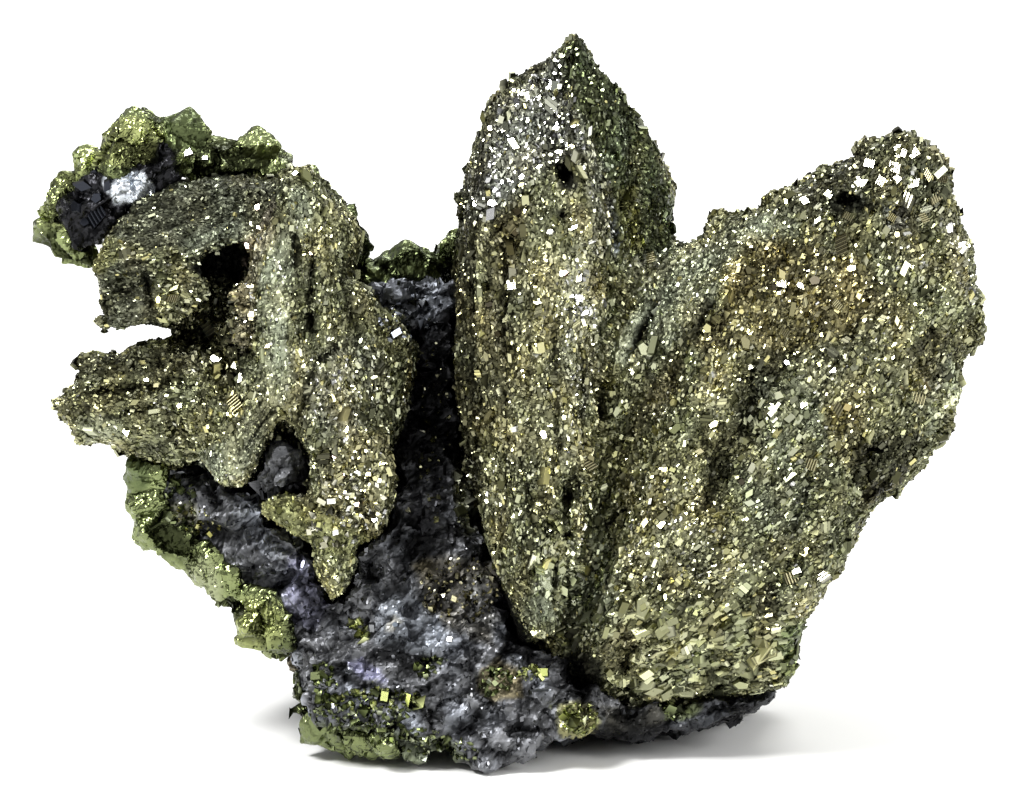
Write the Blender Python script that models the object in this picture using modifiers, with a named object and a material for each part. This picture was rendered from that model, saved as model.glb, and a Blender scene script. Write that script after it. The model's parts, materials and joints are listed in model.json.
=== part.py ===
"""Pyrite pseudomorph specimen: fans of bladed crystals turned to pyrite, on dark sulphide rock.

Run with: blender --background --python part.py

Lengths below are in millimetres and are turned into metres where a mesh is made. The outlines are drawn
as a person sees the specimen from the front, looking a little down on it: right is +X and up is the page.
Each blade is its outline swept along that line of sight, so depth runs away from the person, and planes
then cut its facets. The finished specimen stands on its flat underside at Z = 0, with its front to -Y.
"""

import math
import random
from collections import namedtuple

import bmesh
import bpy
from mathutils import Matrix, Vector, noise

MM = 0.001
LOOK_DOWN = math.radians(12)
GROUND = 2.8  # height of the resting plane in the drawn frame, before everything is lowered onto Z = 0
BLADE_VOXEL = 0.9
FUSED_VOXEL = 0.8
BED_VOXEL = 0.5
CLEARANCE = 0.6  # how far a neighbour is swelled before it cuts its bed, which leaves a gap of 0.3 or more
WIDE_CLEARANCE = 0.85  # the same round sharp cubes, and in the rock, which is made coarser afterwards
BED_FACETS, FEWEST_BED_FACETS = 0.15, 500  # share of its faces that a swelled neighbour keeps, or this many
CHAMFER = 0.9
CRUST = 0.45  # how far the outlines are drawn in, for the relief and the crystals that stand on them
SMALLEST_CRYSTAL, LARGEST_CRYSTAL = 1.0, 2.0

PYRITE_TRIANGLES, LEFT_TRIANGLES, ROCK_TRIANGLES = 1860, 1130, 1700
BEDDED_ROCK_TRIANGLES = 1900
PYRITE_CRYSTALS, LEFT_CRYSTALS = 34, 18

Blade = namedtuple("Blade", "outline front back lean_right lean_up grain relief facets")
Blade.__new__.__defaults__ = (0.0, 0.0, 90.0, 0.8, ())
Facet = namedtuple("Facet", "right up depth to_right to_up to_front")
Crystal = namedtuple("Crystal", "right up depth size aim")
Pit = namedtuple("Pit", "right up depth wide high deep")

CENTRE_BLADES = {
    "front_crystal": Blade(
        [(6.6, 74.4), (4.7, 72.2), (1.8, 70.2), (-0.6, 68.6), (-1.9, 67.0), (-3.0, 64.8), (-3.9, 62.3),
         (-4.8, 59.3), (-5.4, 56.3), (-5.9, 46.8), (-5.8, 36.8), (-4.4, 29.8), (-2.4, 20.8), (-0.9, 17.0),
         (1.8, 12.0), (5.0, 13.0), (6.8, 20.8), (8.2, 28.8), (9.2, 36.8), (9.8, 43.8), (10.8, 50.6),
         (9.9, 56.8), (8.8, 60.6), (7.4, 66.0)],
        -14.5, 10.0, 0.05, 0.10, 90.0, 0.8,
        (Facet(-2.6, 40, -13.4, -0.72, 0, 0.70), Facet(8.0, 40, -13.6, 0.62, 0, 0.78),
         Facet(0.0, 57, -12.9, -0.10, 0.38, 0.92), Facet(0, 66, 6, 0, 0.5, -0.86))),
    "rear_crystal": Blade(
        [(6.6, 74.4), (8.2, 72.2), (11.1, 68.4), (13.3, 65.4), (15.5, 61.8), (17.0, 59.0), (17.2, 53.6),
         (16.8, 49.0), (11.0, 44.0), (8.0, 46.0), (5.5, 56.0), (4.8, 66.0)],
        -13.0, 15.0, 0.0, 0.10, 100.0, 0.6,
        (Facet(7.4, 62, -12.6, 0.78, 0.05, 0.62), Facet(10, 60, 11, 0.2, 0.3, -0.9))),
}
FAN_BLADES = {
    "inner_plate": Blade(
        [(3.0, 12.8), (4.2, 17.8), (6.0, 22.8), (7.6, 29.8), (8.8, 38.3), (10.0, 45.3), (12.0, 49.6),
         (15.3, 52.0), (17.8, 52.8), (18.8, 53.6), (20.3, 56.0), (22.6, 56.0), (22.8, 50.8), (19.5, 43.8),
         (16.0, 34.8), (13.0, 25.8), (10.6, 17.8), (8.0, 12.3)],
        -10.0, 10.0, -0.30, 0.04, 64.0, 0.7,
        (Facet(14, 48, -8.0, -0.45, 0.55, 0.70), Facet(12, 45, 7, -0.3, 0.5, -0.8))),
    "broad_plate": Blade(
        [(6.0, 11.0), (9.0, 18.0), (12.0, 27.0), (15.0, 36.0), (18.0, 44.8), (20.5, 51.3), (22.5, 55.6),
         (24.8, 56.8), (27.8, 58.3), (30.8, 59.6), (33.4, 60.8), (34.8, 62.6), (37.8, 63.5), (40.0, 63.6),
         (42.5, 62.4), (43.8, 60.1), (44.6, 55.8), (43.0, 48.8), (40.0, 39.8), (36.0, 31.8), (33.0, 23.8),
         (31.0, 16.8), (29.3, 13.5), (29.0, 10.8), (27.6, 8.6), (22.0, 7.2), (13.0, 6.6), (8.0, 8.4)],
        -14.0, 9.0, -0.02, 0.10, 60.0, 1.0,
        (Facet(29, 54, -11.6, -0.25, 0.55, 0.80), Facet(40, 50, -11.0, 0.45, 0.10, 0.88),
         Facet(18, 13, -14.6, 0.05, -0.55, 0.83), Facet(28, 55, 5, -0.2, 0.6, -0.8))),
    "golden_plate": Blade(
        [(9.0, 14.0), (11.0, 22.0), (13.5, 31.0), (16.0, 40.0), (18.5, 47.0), (21.0, 52.0), (24.0, 52.0),
         (27.5, 47.5), (25.5, 40.0), (22.5, 32.0), (19.0, 24.0), (16.0, 16.0), (13.0, 12.0)],
        -14.6, 0.0, -0.12, 0.10, 64.0, 0.9),
    "outer_plate": Blade(
        [(24.0, 12.8), (27.0, 18.0), (31.0, 25.0), (35.0, 32.5), (39.0, 40.5), (42.0, 48.0), (44.0, 56.3),
         (45.6, 53.5), (46.7, 50.6), (47.4, 46.8), (48.0, 43.8), (47.2, 42.2), (45.3, 41.5),
         (45.3, 37.3), (44.8, 34.1), (43.6, 31.9), (42.1, 30.4), (39.8, 27.8), (37.1, 25.8), (34.9, 22.8),
         (33.4, 20.0), (31.6, 17.8), (31.0, 15.9), (28.0, 14.0), (26.0, 12.8)],
        -11.5, 6.0, 0.15, 0.02, 48.0, 0.9,
        (Facet(42, 38, -9.0, 0.60, -0.15, 0.78), Facet(42, 38, 3, 0.4, 0.0, -0.9))),
    "root": Blade(
        [(2.5, 12.8), (8.0, 16.8), (15.0, 19.8), (23.0, 19.8), (28.4, 15.8), (29.3, 13.4), (29.0, 10.8),
         (27.6, 8.3), (25.0, 7.3), (19.0, 6.2), (13.0, 6.0), (8.0, 7.2), (4.5, 9.4)],
        -8.0, 15.0, 0.06, 0.10, 12.0, 0.7),
    "back_plate": Blade(
        [(10.0, 12.0), (13.0, 27.0), (20.0, 40.0), (27.0, 50.0), (33.0, 53.5), (38.0, 51.0), (36.0, 40.0),
         (31.0, 26.0), (24.0, 12.0)],
        3.0, 15.5, -0.10, -0.10, 62.0, 1.0,
        (Facet(27, 40, 14, 0.3, 0.3, -0.9), Facet(16, 30, 14, -0.4, 0.1, -0.9))),
}
LEFT_BLADES = {
    "smooth_edge": Blade(
        [(-22.7, 60.2), (-20.8, 59.8), (-20.2, 55.8), (-20.8, 50.8), (-20.6, 43.8), (-21.6, 36.8),
         (-24.4, 31.8), (-25.4, 28.6), (-28.8, 28.0), (-31.0, 30.3), (-30.9, 32.3), (-28.7, 34.8),
         (-26.6, 38.5), (-25.7, 42.3), (-26.9, 48.3), (-26.2, 51.8), (-24.1, 57.8)],
        -14.0, -1.0, -0.32, 0.08, 84.0, 0.5),
    "standing_blade": Blade(
        [(-22.9, 60.6), (-21.0, 61.2), (-19.0, 60.2), (-18.0, 58.4), (-16.4, 56.8), (-15.4, 54.0),
         (-14.4, 49.2), (-13.0, 47.5), (-11.0, 45.8), (-9.2, 43.6), (-8.9, 40.3), (-9.6, 36.8),
         (-10.4, 33.4), (-16.0, 32.6), (-21.4, 31.4), (-22.5, 34.8), (-21.2, 43.8), (-21.4, 53.8)],
        -13.5, 4.0, 0.10, 0.12, 98.0, 0.9,
        (Facet(-17.0, 45, -12.4, 0.55, 0.10, 0.83), Facet(-16, 50, 2, 0.2, 0.4, -0.9))),
    "druse_lump": Blade(
        [(-19.8, 34.6), (-16.0, 35.8), (-11.6, 34.6), (-10.8, 28.8), (-11.4, 25.1), (-12.5, 22.8),
         (-16.0, 22.0), (-20.2, 22.7), (-25.2, 25.2), (-25.8, 27.3), (-23.0, 28.6), (-20.4, 27.6)],
        -14.0, 2.0, 0.0, -0.02, 30.0, 0.6),
    "tooth": Blade(
        [(-20.2, 24.4), (-15.8, 25.0), (-14.9, 20.8), (-15.9, 18.2), (-17.6, 16.2), (-19.4, 18.1),
         (-20.2, 20.3)],
        -13.2, 0.0, 0.0, 0.0, 90.0, 0.4),
    "shelf_roof": Blade(
        [(-41.9, 49.6), (-41.4, 53.0), (-39.0, 55.6), (-37.6, 57.8), (-34.0, 59.4), (-30.5, 60.0),
         (-26.5, 60.2), (-23.5, 59.8), (-21.0, 57.8), (-22.5, 54.3), (-26.5, 52.3), (-32.0, 50.4),
         (-37.0, 49.4)],
        -10.5, 9.0, 0.05, 0.75, 8.0, 0.6),
    "shelf_block": Blade(
        [(-41.8, 52.0), (-37.0, 53.5), (-31.0, 53.0), (-29.8, 49.8), (-30.2, 46.8), (-32.2, 44.3),
         (-35.0, 44.4), (-40.7, 44.0), (-41.3, 46.8)],
        -12.5, 4.0, 0.06, 0.10, 4.0, 0.7),
    "hollow_wall": Blade(
        [(-33.0, 53.5), (-24.0, 54.5), (-22.0, 46.8), (-20.5, 36.8), (-21.0, 30.0), (-26.0, 29.5),
         (-33.0, 31.0), (-35.5, 38.8), (-34.4, 41.8), (-33.4, 44.3)],
        -2.5, 9.0, 0.0, -0.06, 90.0, 0.8,
        (Facet(-29, 40, 7, -0.35, 0.0, -0.94),)),
    "spur": Blade(
        [(-43.8, 41.2), (-42.7, 41.3), (-38.7, 41.4), (-36.2, 42.0), (-33.4, 43.0), (-30.0, 42.8),
         (-27.5, 37.8), (-28.5, 33.8), (-31.5, 31.1), (-34.5, 30.2), (-37.8, 30.8), (-40.0, 32.1),
         (-41.7, 32.4),
         (-43.3, 31.8), (-44.2, 34.0), (-45.5, 35.4), (-46.1, 36.8), (-45.0, 38.0), (-43.5, 38.6)],
        -11.0, 5.0, -0.16, 0.25, 6.0, 0.8,
        (Facet(-40, 36, -9.4, -0.3, -0.5, 0.8), Facet(-38, 36, 3, -0.3, 0.0, -0.94))),
}
ROCK_LUMPS = {
    "body": Blade(
        [(-35.8, 30.2), (-27.5, 30.0), (-24.8, 31.0), (-21.0, 33.5), (-16.0, 34.5), (-10.5, 35.3),
         (-6.0, 34.0), (-3.5, 24.8), (-0.5, 18.5), (3.0, 13.5), (8.0, 11.8), (10.5, 7.3), (9.0, 3.1),
         (3.5, 2.6), (-7.0, 2.0), (-17.0, 3.4), (-20.0, 5.0), (-21.4, 7.8), (-21.8, 11.6),
         (-24.5, 13.6), (-28.6, 17.2), (-32.8, 22.0), (-35.8, 26.5)],
        -9.5, 15.0, -0.02, 0.16, 0.0, 1.3,
        (Facet(-26, 24, -7.6, -0.42, -0.25, 0.87), Facet(-8, 34, -3.0, 0, 0.55, 0.83),
         Facet(-24, 24, 13, -0.5, -0.2, -0.84))),
    "matt_lump": Blade(
        [(-25.8, 30.5), (-24.8, 32.8), (-22.6, 33.8), (-20.6, 32.4), (-20.2, 29.6), (-21.4, 27.2),
         (-24.0, 26.8), (-25.6, 28.2)],
        -12.5, 0.0, 0.0, 0.10, 0.0, 0.4),
    "ledge": Blade(
        [(-21.0, 12.0), (-14.0, 15.5), (-8.5, 17.5), (-3.0, 15.5), (0.5, 13.0), (4.0, 10.5), (8.5, 8.4),
         (9.5, 3.1), (3.6, 2.8), (-3.0, 1.2), (-6.6, 1.1), (-10.4, 1.9), (-16.5, 3.6), (-20.6, 6.0)],
        -13.5, 2.0, 0.0, 0.30, 4.0, 1.1),
    "front_foot": Blade(
        [(-5.0, 5.5), (3.8, 5.0), (3.4, 2.0), (1.6, 0.8), (-1.0, -0.2), (-4.4, -0.8), (-5.2, 1.4)],
        -15.6, -3.0, 0.0, 0.0, 0.0, 0.4),
    "gap_wall": Blade(
        [(-14.6, 49.4), (-11.0, 49.9), (-7.0, 49.6), (-4.0, 50.0), (-3.0, 33.0), (-11.0, 31.0),
         (-15.0, 40.0), (-15.5, 46.8)],
        2.0, 16.0, 0.0, 0.05, 0.0, 1.2,
        (Facet(-10, 46, 16, 0, 0.7, -0.7),)),
    "spur_rest": Blade(
        [(-36.5, 27.0), (-36.8, 31.5), (-33.5, 34.0), (-28.0, 35.0), (-23.0, 33.0), (-23.0, 26.0)],
        5.5, 14.0, 0.0, 0.0, 0.0, 1.0,
        (Facet(-34, 30, 11, -0.6, 0.2, -0.77),)),
    "back_mass": Blade(
        [(-21.0, 6.0), (-25.5, 17.0), (-26.0, 27.0), (-19.0, 37.0), (-8.0, 42.0), (3.0, 38.0), (13.0, 29.0),
         (20.0, 19.0), (23.0, 10.0), (21.0, 4.0), (0.0, 3.0), (-20.0, 4.0)],
        5.0, 23.0, 0.0, 0.0, 0.0, 1.6,
        (Facet(0, 30, 20, 0, 0.5, -0.86), Facet(-20, 20, 19, -0.55, 0.1, -0.83),
         Facet(14, 15, 19, 0.6, 0.1, -0.8))),
    "sole": Blade(
        [(6.0, 8.5), (13.0, 9.0), (19.0, 9.0), (26.7, 9.8), (28.1, 8.1), (27.2, 7.3), (25.5, 6.6),
         (24.5, 5.3), (22.9, 4.5), (20.8, 3.9), (17.8, 3.5), (13.0, 2.6), (8.0, 2.8)],
        -10.5, 12.0, 0.0, 0.0, 0.0, 0.3),
}

PYRITE_PITS = [
    Pit(5.4, 59.8, -12.0, 1.1, 1.3, 3.0), Pit(5.1, 55.3, -13.0, 0.7, 0.8, 2.0),
    Pit(33.3, 57.0, -11.0, 1.7, 1.1, 3.0), Pit(36.0, 32.0, -12.0, 2.2, 1.4, 2.5),
    Pit(12.8, 46.4, -8.6, 0.5, 3.0, 2.6), Pit(11.6, 43.4, -9.6, 0.5, 2.6, 2.6),
    Pit(8.9, 39.0, -14.0, 0.6, 4.5, 4.0), Pit(5.6, 26.0, -15.0, 0.6, 5.0, 4.0),
    Pit(24.0, 38.0, -14.2, 0.9, 6.0, 1.6), Pit(21.0, 30.0, -14.6, 0.8, 4.0, 1.6),
]
ROCK_PITS = [
    Pit(-0.2, 14.6, -12.0, 1.7, 3.2, 8.0), Pit(7.2, 9.8, -12.0, 2.6, 1.7, 7.0),
    Pit(-20.8, 30.0, -10.0, 2.4, 1.6, 3.0),
]

PYRITE_CROWN = [  # the larger crystals that break the outline or catch the eye on the two big blades
    Crystal(6.4, 71.8, -9.0, 1.3, 60), Crystal(-2.0, 65.1, -8.0, 1.4, 140),
    Crystal(-4.8, 57.4, -6.0, 1.3, 190), Crystal(20.6, 55.0, -2.0, 1.3, 80),
    Crystal(25.6, 56.6, -5.0, 1.5, 100), Crystal(31.2, 59.6, -6.0, 1.4, 120),
    Crystal(35.0, 62.0, -6.0, 1.7, 120), Crystal(39.0, 62.0, -7.0, 1.7, 80),
    Crystal(42.0, 60.6, -6.0, 1.6, 45), Crystal(44.2, 56.6, -6.0, 1.3, 10),
    Crystal(45.4, 52.0, -7.0, 1.5, 30), Crystal(45.9, 47.4, -6.0, 1.4, 0),
    Crystal(45.7, 43.5, -5.0, 1.8, 340), Crystal(37.3, 57.3, -12.2, 1.8, 30),
    Crystal(29.8, 30.8, -14.6, 1.6, 20), Crystal(41.8, 38.8, -11.6, 1.9, 60),
    Crystal(43.8, 35.0, -7.0, 1.4, 350), Crystal(29.3, 22.3, -14.6, 2.2, 110),
    Crystal(26.8, 19.8, -14.6, 1.7, 70), Crystal(29.4, 17.2, -11.0, 1.8, 330),
    Crystal(28.1, 12.6, -6.0, 1.5, 0), Crystal(23.0, 48.6, -13.8, 1.5, 10),
    Crystal(26.8, 46.0, -13.6, 1.4, 40), Crystal(12.8, 51.4, -9.4, 1.2, 70),
]
LEFT_CROWN = [
    Crystal(-30.0, 45.2, -8.0, 1.6, 120), Crystal(-28.6, 41.8, -7.6, 1.8, 30),
    Crystal(-27.4, 37.4, -10.0, 1.6, 60), Crystal(-24.6, 48.4, -12.6, 1.2, 10),
    Crystal(-25.6, 44.0, -12.0, 1.2, 100), Crystal(-22.4, 59.4, -8.0, 1.2, 110),
    Crystal(-44.4, 36.8, -6.0, 1.3, 180), Crystal(-42.6, 40.6, -5.0, 1.3, 150),
    Crystal(-40.2, 45.3, -8.0, 1.3, 220), Crystal(-11.4, 45.4, -9.0, 1.2, 50),
]
SHELF_CHALCOPYRITE = [
    Crystal(-44.9, 53.5, -5.0, 2.8, 196), Crystal(-44.3, 56.7, -4.6, 2.7, 128),
    Crystal(-42.0, 59.4, -4.4, 2.6, 120), Crystal(-38.0, 61.4, -6.4, 3.6, 80),
    Crystal(-35.8, 62.7, -3.6, 2.7, 105), Crystal(-32.3, 62.9, -2.6, 3.3, 84),
    Crystal(-28.6, 60.9, -1.0, 3.1, 110), Crystal(-25.7, 60.9, -0.2, 3.0, 84),
    Crystal(-23.6, 59.8, 1.5, 2.7, 45),
]
REAR_CHALCOPYRITE = [
    Crystal(-20.9, 58.2, 7.4, 2.7, 60), Crystal(-19.1, 56.4, 7.0, 2.8, 70),
    Crystal(-17.6, 54.3, 6.4, 2.8, 50), Crystal(-16.1, 52.8, 5.6, 2.5, 10),
    Crystal(-15.9, 50.8, 6.0, 2.4, 340), Crystal(-17.0, 48.6, 7.0, 2.8, 300),
]
GAP_CHALCOPYRITE = [
    Crystal(-12.0, 50.5, 7.5, 2.2, 150), Crystal(-10.4, 50.9, 7.5, 2.2, 95),
    Crystal(-8.6, 50.4, 8.5, 2.2, 70), Crystal(-6.6, 51.4, 10.5, 2.4, 60),
    Crystal(-5.2, 50.8, 12.8, 2.3, 30),
]
EDGE_CHALCOPYRITE = [
    Crystal(-36.6, 29.4, -3.4, 2.3, 175), Crystal(-36.7, 27.2, -3.5, 2.2, 190),
    Crystal(-35.1, 24.6, -3.5, 2.5, 215), Crystal(-33.0, 22.8, -4.0, 2.4, 262),
    Crystal(-30.5, 20.6, -4.5, 2.4, 240), Crystal(-28.6, 18.6, -5.0, 2.3, 280),
    Crystal(-25.4, 15.5, -6.0, 3.2, 232), Crystal(-23.2, 13.7, -6.0, 2.4, 285),
]
FOOT_CHALCOPYRITE = [
    Crystal(-20.2, 8.2, -6.4, 2.1, 175), Crystal(-19.2, 5.4, -7.6, 2.9, 228),
    Crystal(-16.9, 4.6, -9.0, 2.5, 275), Crystal(-14.4, 4.7, -10.6, 2.5, 280),
    Crystal(-11.8, 4.0, -12.6, 2.4, 255), Crystal(-9.0, 3.2, -14.2, 2.4, 275),
    Crystal(-6.6, 2.4, -15.0, 2.0, 260),
]
SHELF_GALENA = [
    Crystal(-42.0, 55.6, -6.6, 3.0, 12), Crystal(-39.8, 57.4, -6.9, 2.9, 33),
    Crystal(-37.6, 59.0, -6.4, 2.4, 50), Crystal(-35.2, 60.3, -5.4, 2.2, 20),
]

COLOURS = {  # sRGB base colour, metallic, roughness
    "pyrite": ((0.50, 0.47, 0.32), 0.9, 0.35),
    "chalcopyrite": ((0.55, 0.56, 0.20), 0.9, 0.35),
    "sulphide_rock": ((0.16, 0.16, 0.19), 0.5, 0.45),
    "galena": ((0.22, 0.23, 0.28), 0.9, 0.25),
}


def sight_matrix():
    """Drawn (right, up, towards the person) to the specimen's own frame, lowered onto the resting plane."""
    across = Vector((1, 0, 0))
    up = Vector((0, 0, 1 / math.cos(LOOK_DOWN)))
    nearer = Vector((0, -math.cos(LOOK_DOWN), math.sin(LOOK_DOWN)))
    axes = Matrix((across, up, nearer)).transposed().to_4x4()
    return Matrix.Translation((0, 0, -GROUND * MM)) @ axes


def drawn_from(point):
    """The drawn (right, up, depth) of a point of the specimen, in millimetres."""
    right, up, nearer = sight_matrix().inverted() @ point
    return Vector((right, up, -nearer)) / MM


def clear_scene():
    for old in list(bpy.data.objects):
        bpy.data.objects.remove(old)


def new_object(name, mesh):
    made = bpy.data.objects.new(name, mesh)
    bpy.context.scene.collection.objects.link(made)
    return made


def object_from(name, shape):
    """An object that holds the bmesh, which is then freed."""
    mesh = bpy.data.meshes.new(name)
    shape.to_mesh(mesh)
    shape.free()
    return new_object(name, mesh)


def baked(obj):
    """Replaces the object's mesh by what its modifiers make of it."""
    graph = bpy.context.evaluated_depsgraph_get()
    mesh = bpy.data.meshes.new_from_object(obj.evaluated_get(graph))
    obj.modifiers.clear()
    obj.data = mesh
    return obj


def swept_outline(name, form):
    """The outline filled, chamfered and swept through the blade's thickness, as a closed bmesh."""
    curve = bpy.data.curves.new(name, "CURVE")
    curve.dimensions = "2D"
    curve.fill_mode = "BOTH"
    curve.extrude = ((form.back - form.front) / 2 - CHAMFER) * MM
    curve.bevel_depth = CHAMFER * MM
    curve.bevel_resolution = 0
    curve.offset = -(CHAMFER + CRUST) * MM
    spline = curve.splines.new("POLY")
    spline.points.add(len(form.outline) - 1)
    for point, (right, up) in zip(spline.points, form.outline):
        point.co = (right * MM, up * MM, 0, 1)
    spline.use_cyclic_u = True
    drawn = new_object(name, curve)
    graph = bpy.context.evaluated_depsgraph_get()
    mesh = bpy.data.meshes.new_from_object(drawn.evaluated_get(graph))
    bpy.data.objects.remove(drawn)
    shape = bmesh.new()
    shape.from_mesh(mesh)
    bmesh.ops.remove_doubles(shape, verts=shape.verts, dist=0.01 * MM)
    bmesh.ops.recalc_face_normals(shape, faces=shape.faces)
    return shape


def cut_facet(shape, facet):
    """Cuts the shape off flat where it stands out past the facet's plane."""
    cut = bmesh.ops.bisect_plane(
        shape, geom=shape.verts[:] + shape.edges[:] + shape.faces[:], dist=0.001 * MM,
        plane_co=Vector((facet.right, facet.up, -facet.depth)) * MM,
        plane_no=(facet.to_right, facet.to_up, facet.to_front), clear_outer=True)
    rim = [part for part in cut["geom_cut"] if isinstance(part, bmesh.types.BMEdge)]
    bmesh.ops.holes_fill(shape, edges=rim)


def blade(name, form):
    """One blade: its outline swept along the line of sight, leaned in depth and cut to its facets."""
    shape = swept_outline(name, form)
    middle_right = sum(point[0] for point in form.outline) / len(form.outline) * MM
    middle_up = sum(point[1] for point in form.outline) / len(form.outline) * MM
    lean = Matrix.Identity(4)
    lean[2][0] = -form.lean_right
    lean[2][1] = -form.lean_up
    middle_depth = (form.front + form.back) / 2 * MM
    lean[2][3] = form.lean_right * middle_right + form.lean_up * middle_up - middle_depth
    shape.transform(lean)
    for facet in form.facets:
        cut_facet(shape, facet)
    shape.transform(sight_matrix())
    return object_from(name, shape)


def remeshed(obj, voxel):
    modifier = obj.modifiers.new("fuse", "REMESH")
    modifier.mode = "VOXEL"
    modifier.voxel_size = voxel * MM
    return baked(obj)


def growth_relief(drawn, form):
    """Height of the growth layers at a drawn point: long ridges along the grain, steps and small lumps."""
    grain = math.radians(form.grain)
    right, up, depth = drawn
    along = right * math.cos(grain) + up * math.sin(grain)
    across = right * math.sin(grain) - up * math.cos(grain)
    layers = noise.noise(Vector((across / 2.6, along / 20.0, depth / 9.0)))
    steps = noise.noise(Vector((across / 6.0 + 31.0, along / 9.0, depth / 7.0)))
    lumps = noise.noise(Vector((across / 2.2, along / 3.2 + 17.0, depth / 2.4)))
    return form.relief * (0.9 * layers + 0.8 * steps + 0.7 * lumps)


def rock_relief(drawn, form):
    """Height of broken rock at a drawn point: blocky lumps with cracks between them."""
    nearest, second = noise.voronoi(drawn / 6.5)[0][:2]
    lumps = min(1.0, 2.2 * (second - nearest)) - 0.6
    rough = noise.noise(drawn / 2.6)
    return form.relief * (0.9 * lumps + 0.6 * rough)


def pushed_out(name, obj, height_at):
    """A copy of the object with each vertex moved along its normal by height_at(vertex), in millimetres."""
    shape = bmesh.new()
    shape.from_mesh(obj.data)
    shape.normal_update()
    moves = [vert.normal * height_at(vert) * MM for vert in shape.verts]
    for vert, move in zip(shape.verts, moves):
        vert.co += move
    return object_from(name, shape)


def roughened(obj, form, relief):
    rough = pushed_out(obj.name, obj, lambda vert: relief(drawn_from(vert.co), form))
    bpy.data.objects.remove(obj)
    return rough


def joined(name, objects):
    """The objects in one mesh."""
    shape = bmesh.new()
    for obj in objects:
        shape.from_mesh(obj.data)
        bpy.data.objects.remove(obj)
    return object_from(name, shape)


def intergrowth(name, forms, relief):
    """Blades or lumps that have grown together into one finely meshed solid."""
    parts = [
        roughened(remeshed(blade(f"{name}_{key}", form), BLADE_VOXEL), form, relief)
        for key, form in forms.items()
    ]
    return remeshed(joined(name, parts), FUSED_VOXEL)


def faceted(obj, triangles):
    """The object with about that many flat facets."""
    obj.data.calc_loop_triangles()
    modifier = obj.modifiers.new("facets", "DECIMATE")
    modifier.ratio = min(1.0, triangles / len(obj.data.loop_triangles))
    modifier.use_collapse_triangulate = True
    return baked(obj)


def combined(obj, other, operation, overlaps_itself=False):
    """The object with the other one joined to it or cut from it, and the other one removed."""
    change = obj.modifiers.new("change", "BOOLEAN")
    change.operation = operation
    change.use_self = overlaps_itself
    change.object = other
    baked(obj)
    bpy.data.objects.remove(other)
    return obj


def pitted(obj, pits):
    """Digs the pits, each an ellipsoid lying along the line of sight."""
    for number, pit in enumerate(pits):
        shape = bmesh.new()
        bmesh.ops.create_icosphere(shape, subdivisions=1, radius=MM)
        shape.transform(Matrix.Diagonal((pit.wide, pit.high, pit.deep, 1)))
        shape.transform(Matrix.Translation(Vector((pit.right, pit.up, -pit.depth)) * MM))
        shape.transform(sight_matrix())
        combined(obj, object_from(f"pit_{number}", shape), "DIFFERENCE")
    return obj


def crystal_place(crystal):
    """Where a crystal sits, with its own X axis aimed across the page at its angle."""
    centre = Vector((crystal.right, crystal.up, -crystal.depth)) * MM
    return sight_matrix() @ Matrix.Translation(centre) @ Matrix.Rotation(math.radians(crystal.aim), 4, "Z")


def cube_crystal(shape, size, place):
    """Adds a pyrite or galena cube with a slightly brick-like habit."""
    cube = bmesh.ops.create_cube(shape, size=1.25 * size * MM)["verts"]
    bmesh.ops.scale(shape, verts=cube, vec=(1.15, 0.9, 0.95))
    bmesh.ops.transform(shape, verts=cube, matrix=place)


def wedge_crystal(shape, size, place):
    """Adds a stubby chalcopyrite bipyramid with a four-sided waist, one point of it along X."""
    turn = Matrix.Rotation(math.radians(90), 4, "Y") @ Matrix.Rotation(math.radians(20), 4, "Z")
    stub = bmesh.ops.create_uvsphere(shape, u_segments=4, v_segments=3, radius=1.12 * size * MM)["verts"]
    bmesh.ops.transform(shape, verts=stub, matrix=place @ turn)


def crystals_at(name, spots, add_crystal):
    """The named crystals as objects, each tilted a little differently in depth."""
    made = []
    for number, spot in enumerate(spots):
        shape = bmesh.new()
        tilt = Matrix.Rotation(math.radians(17 + 29 * number % 60), 4, "X")
        add_crystal(shape, spot.size, crystal_place(spot) @ tilt)
        made.append(object_from(f"{name}_{number}", shape))
    return made


def cluster(name, spots, add_crystal):
    """Crystals that have grown into each other, as one solid."""
    whole, *others = crystals_at(name, spots, add_crystal)
    for other in others:
        combined(whole, other, "UNION")
    whole.name = name
    return whole


def druse(host, count, seed):
    """Cubes half sunk in the host's surface, more where it is broad, each turned its own way."""
    dice = random.Random(seed)
    faces = host.data.polygons
    chosen = dice.choices(faces, weights=[face.area for face in faces], k=count)
    shape = bmesh.new()
    for face in chosen:
        size = dice.uniform(SMALLEST_CRYSTAL, LARGEST_CRYSTAL)
        turn = Matrix.Rotation(dice.uniform(0, math.tau), 4, face.normal)
        tilt = Matrix.Rotation(dice.uniform(0.2, 0.9), 4, face.normal.orthogonal())
        centre = face.center - 0.25 * size * MM * face.normal
        cube_crystal(shape, 0.75 * size, Matrix.Translation(centre) @ turn @ tilt)
    return object_from(f"{host.name}_druse", shape)


def without_crumbs(obj):
    """Keeps the largest body of the object and drops any loose crumb that a cut has left."""
    shape = bmesh.new()
    shape.from_mesh(obj.data)
    waiting = set(shape.verts)
    bodies = []
    while waiting:
        body, reached = set(), [waiting.pop()]
        while reached:
            vert = reached.pop()
            body.add(vert)
            near = {edge.other_vert(vert) for edge in vert.link_edges} & waiting
            waiting -= near
            reached.extend(near)
        bodies.append(body)
    bodies.sort(key=len)
    crumbs = [vert for body in bodies[:-1] for vert in body]
    bmesh.ops.delete(shape, geom=crumbs, context="VERTS")
    shape.to_mesh(obj.data)
    shape.free()
    return obj


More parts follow.
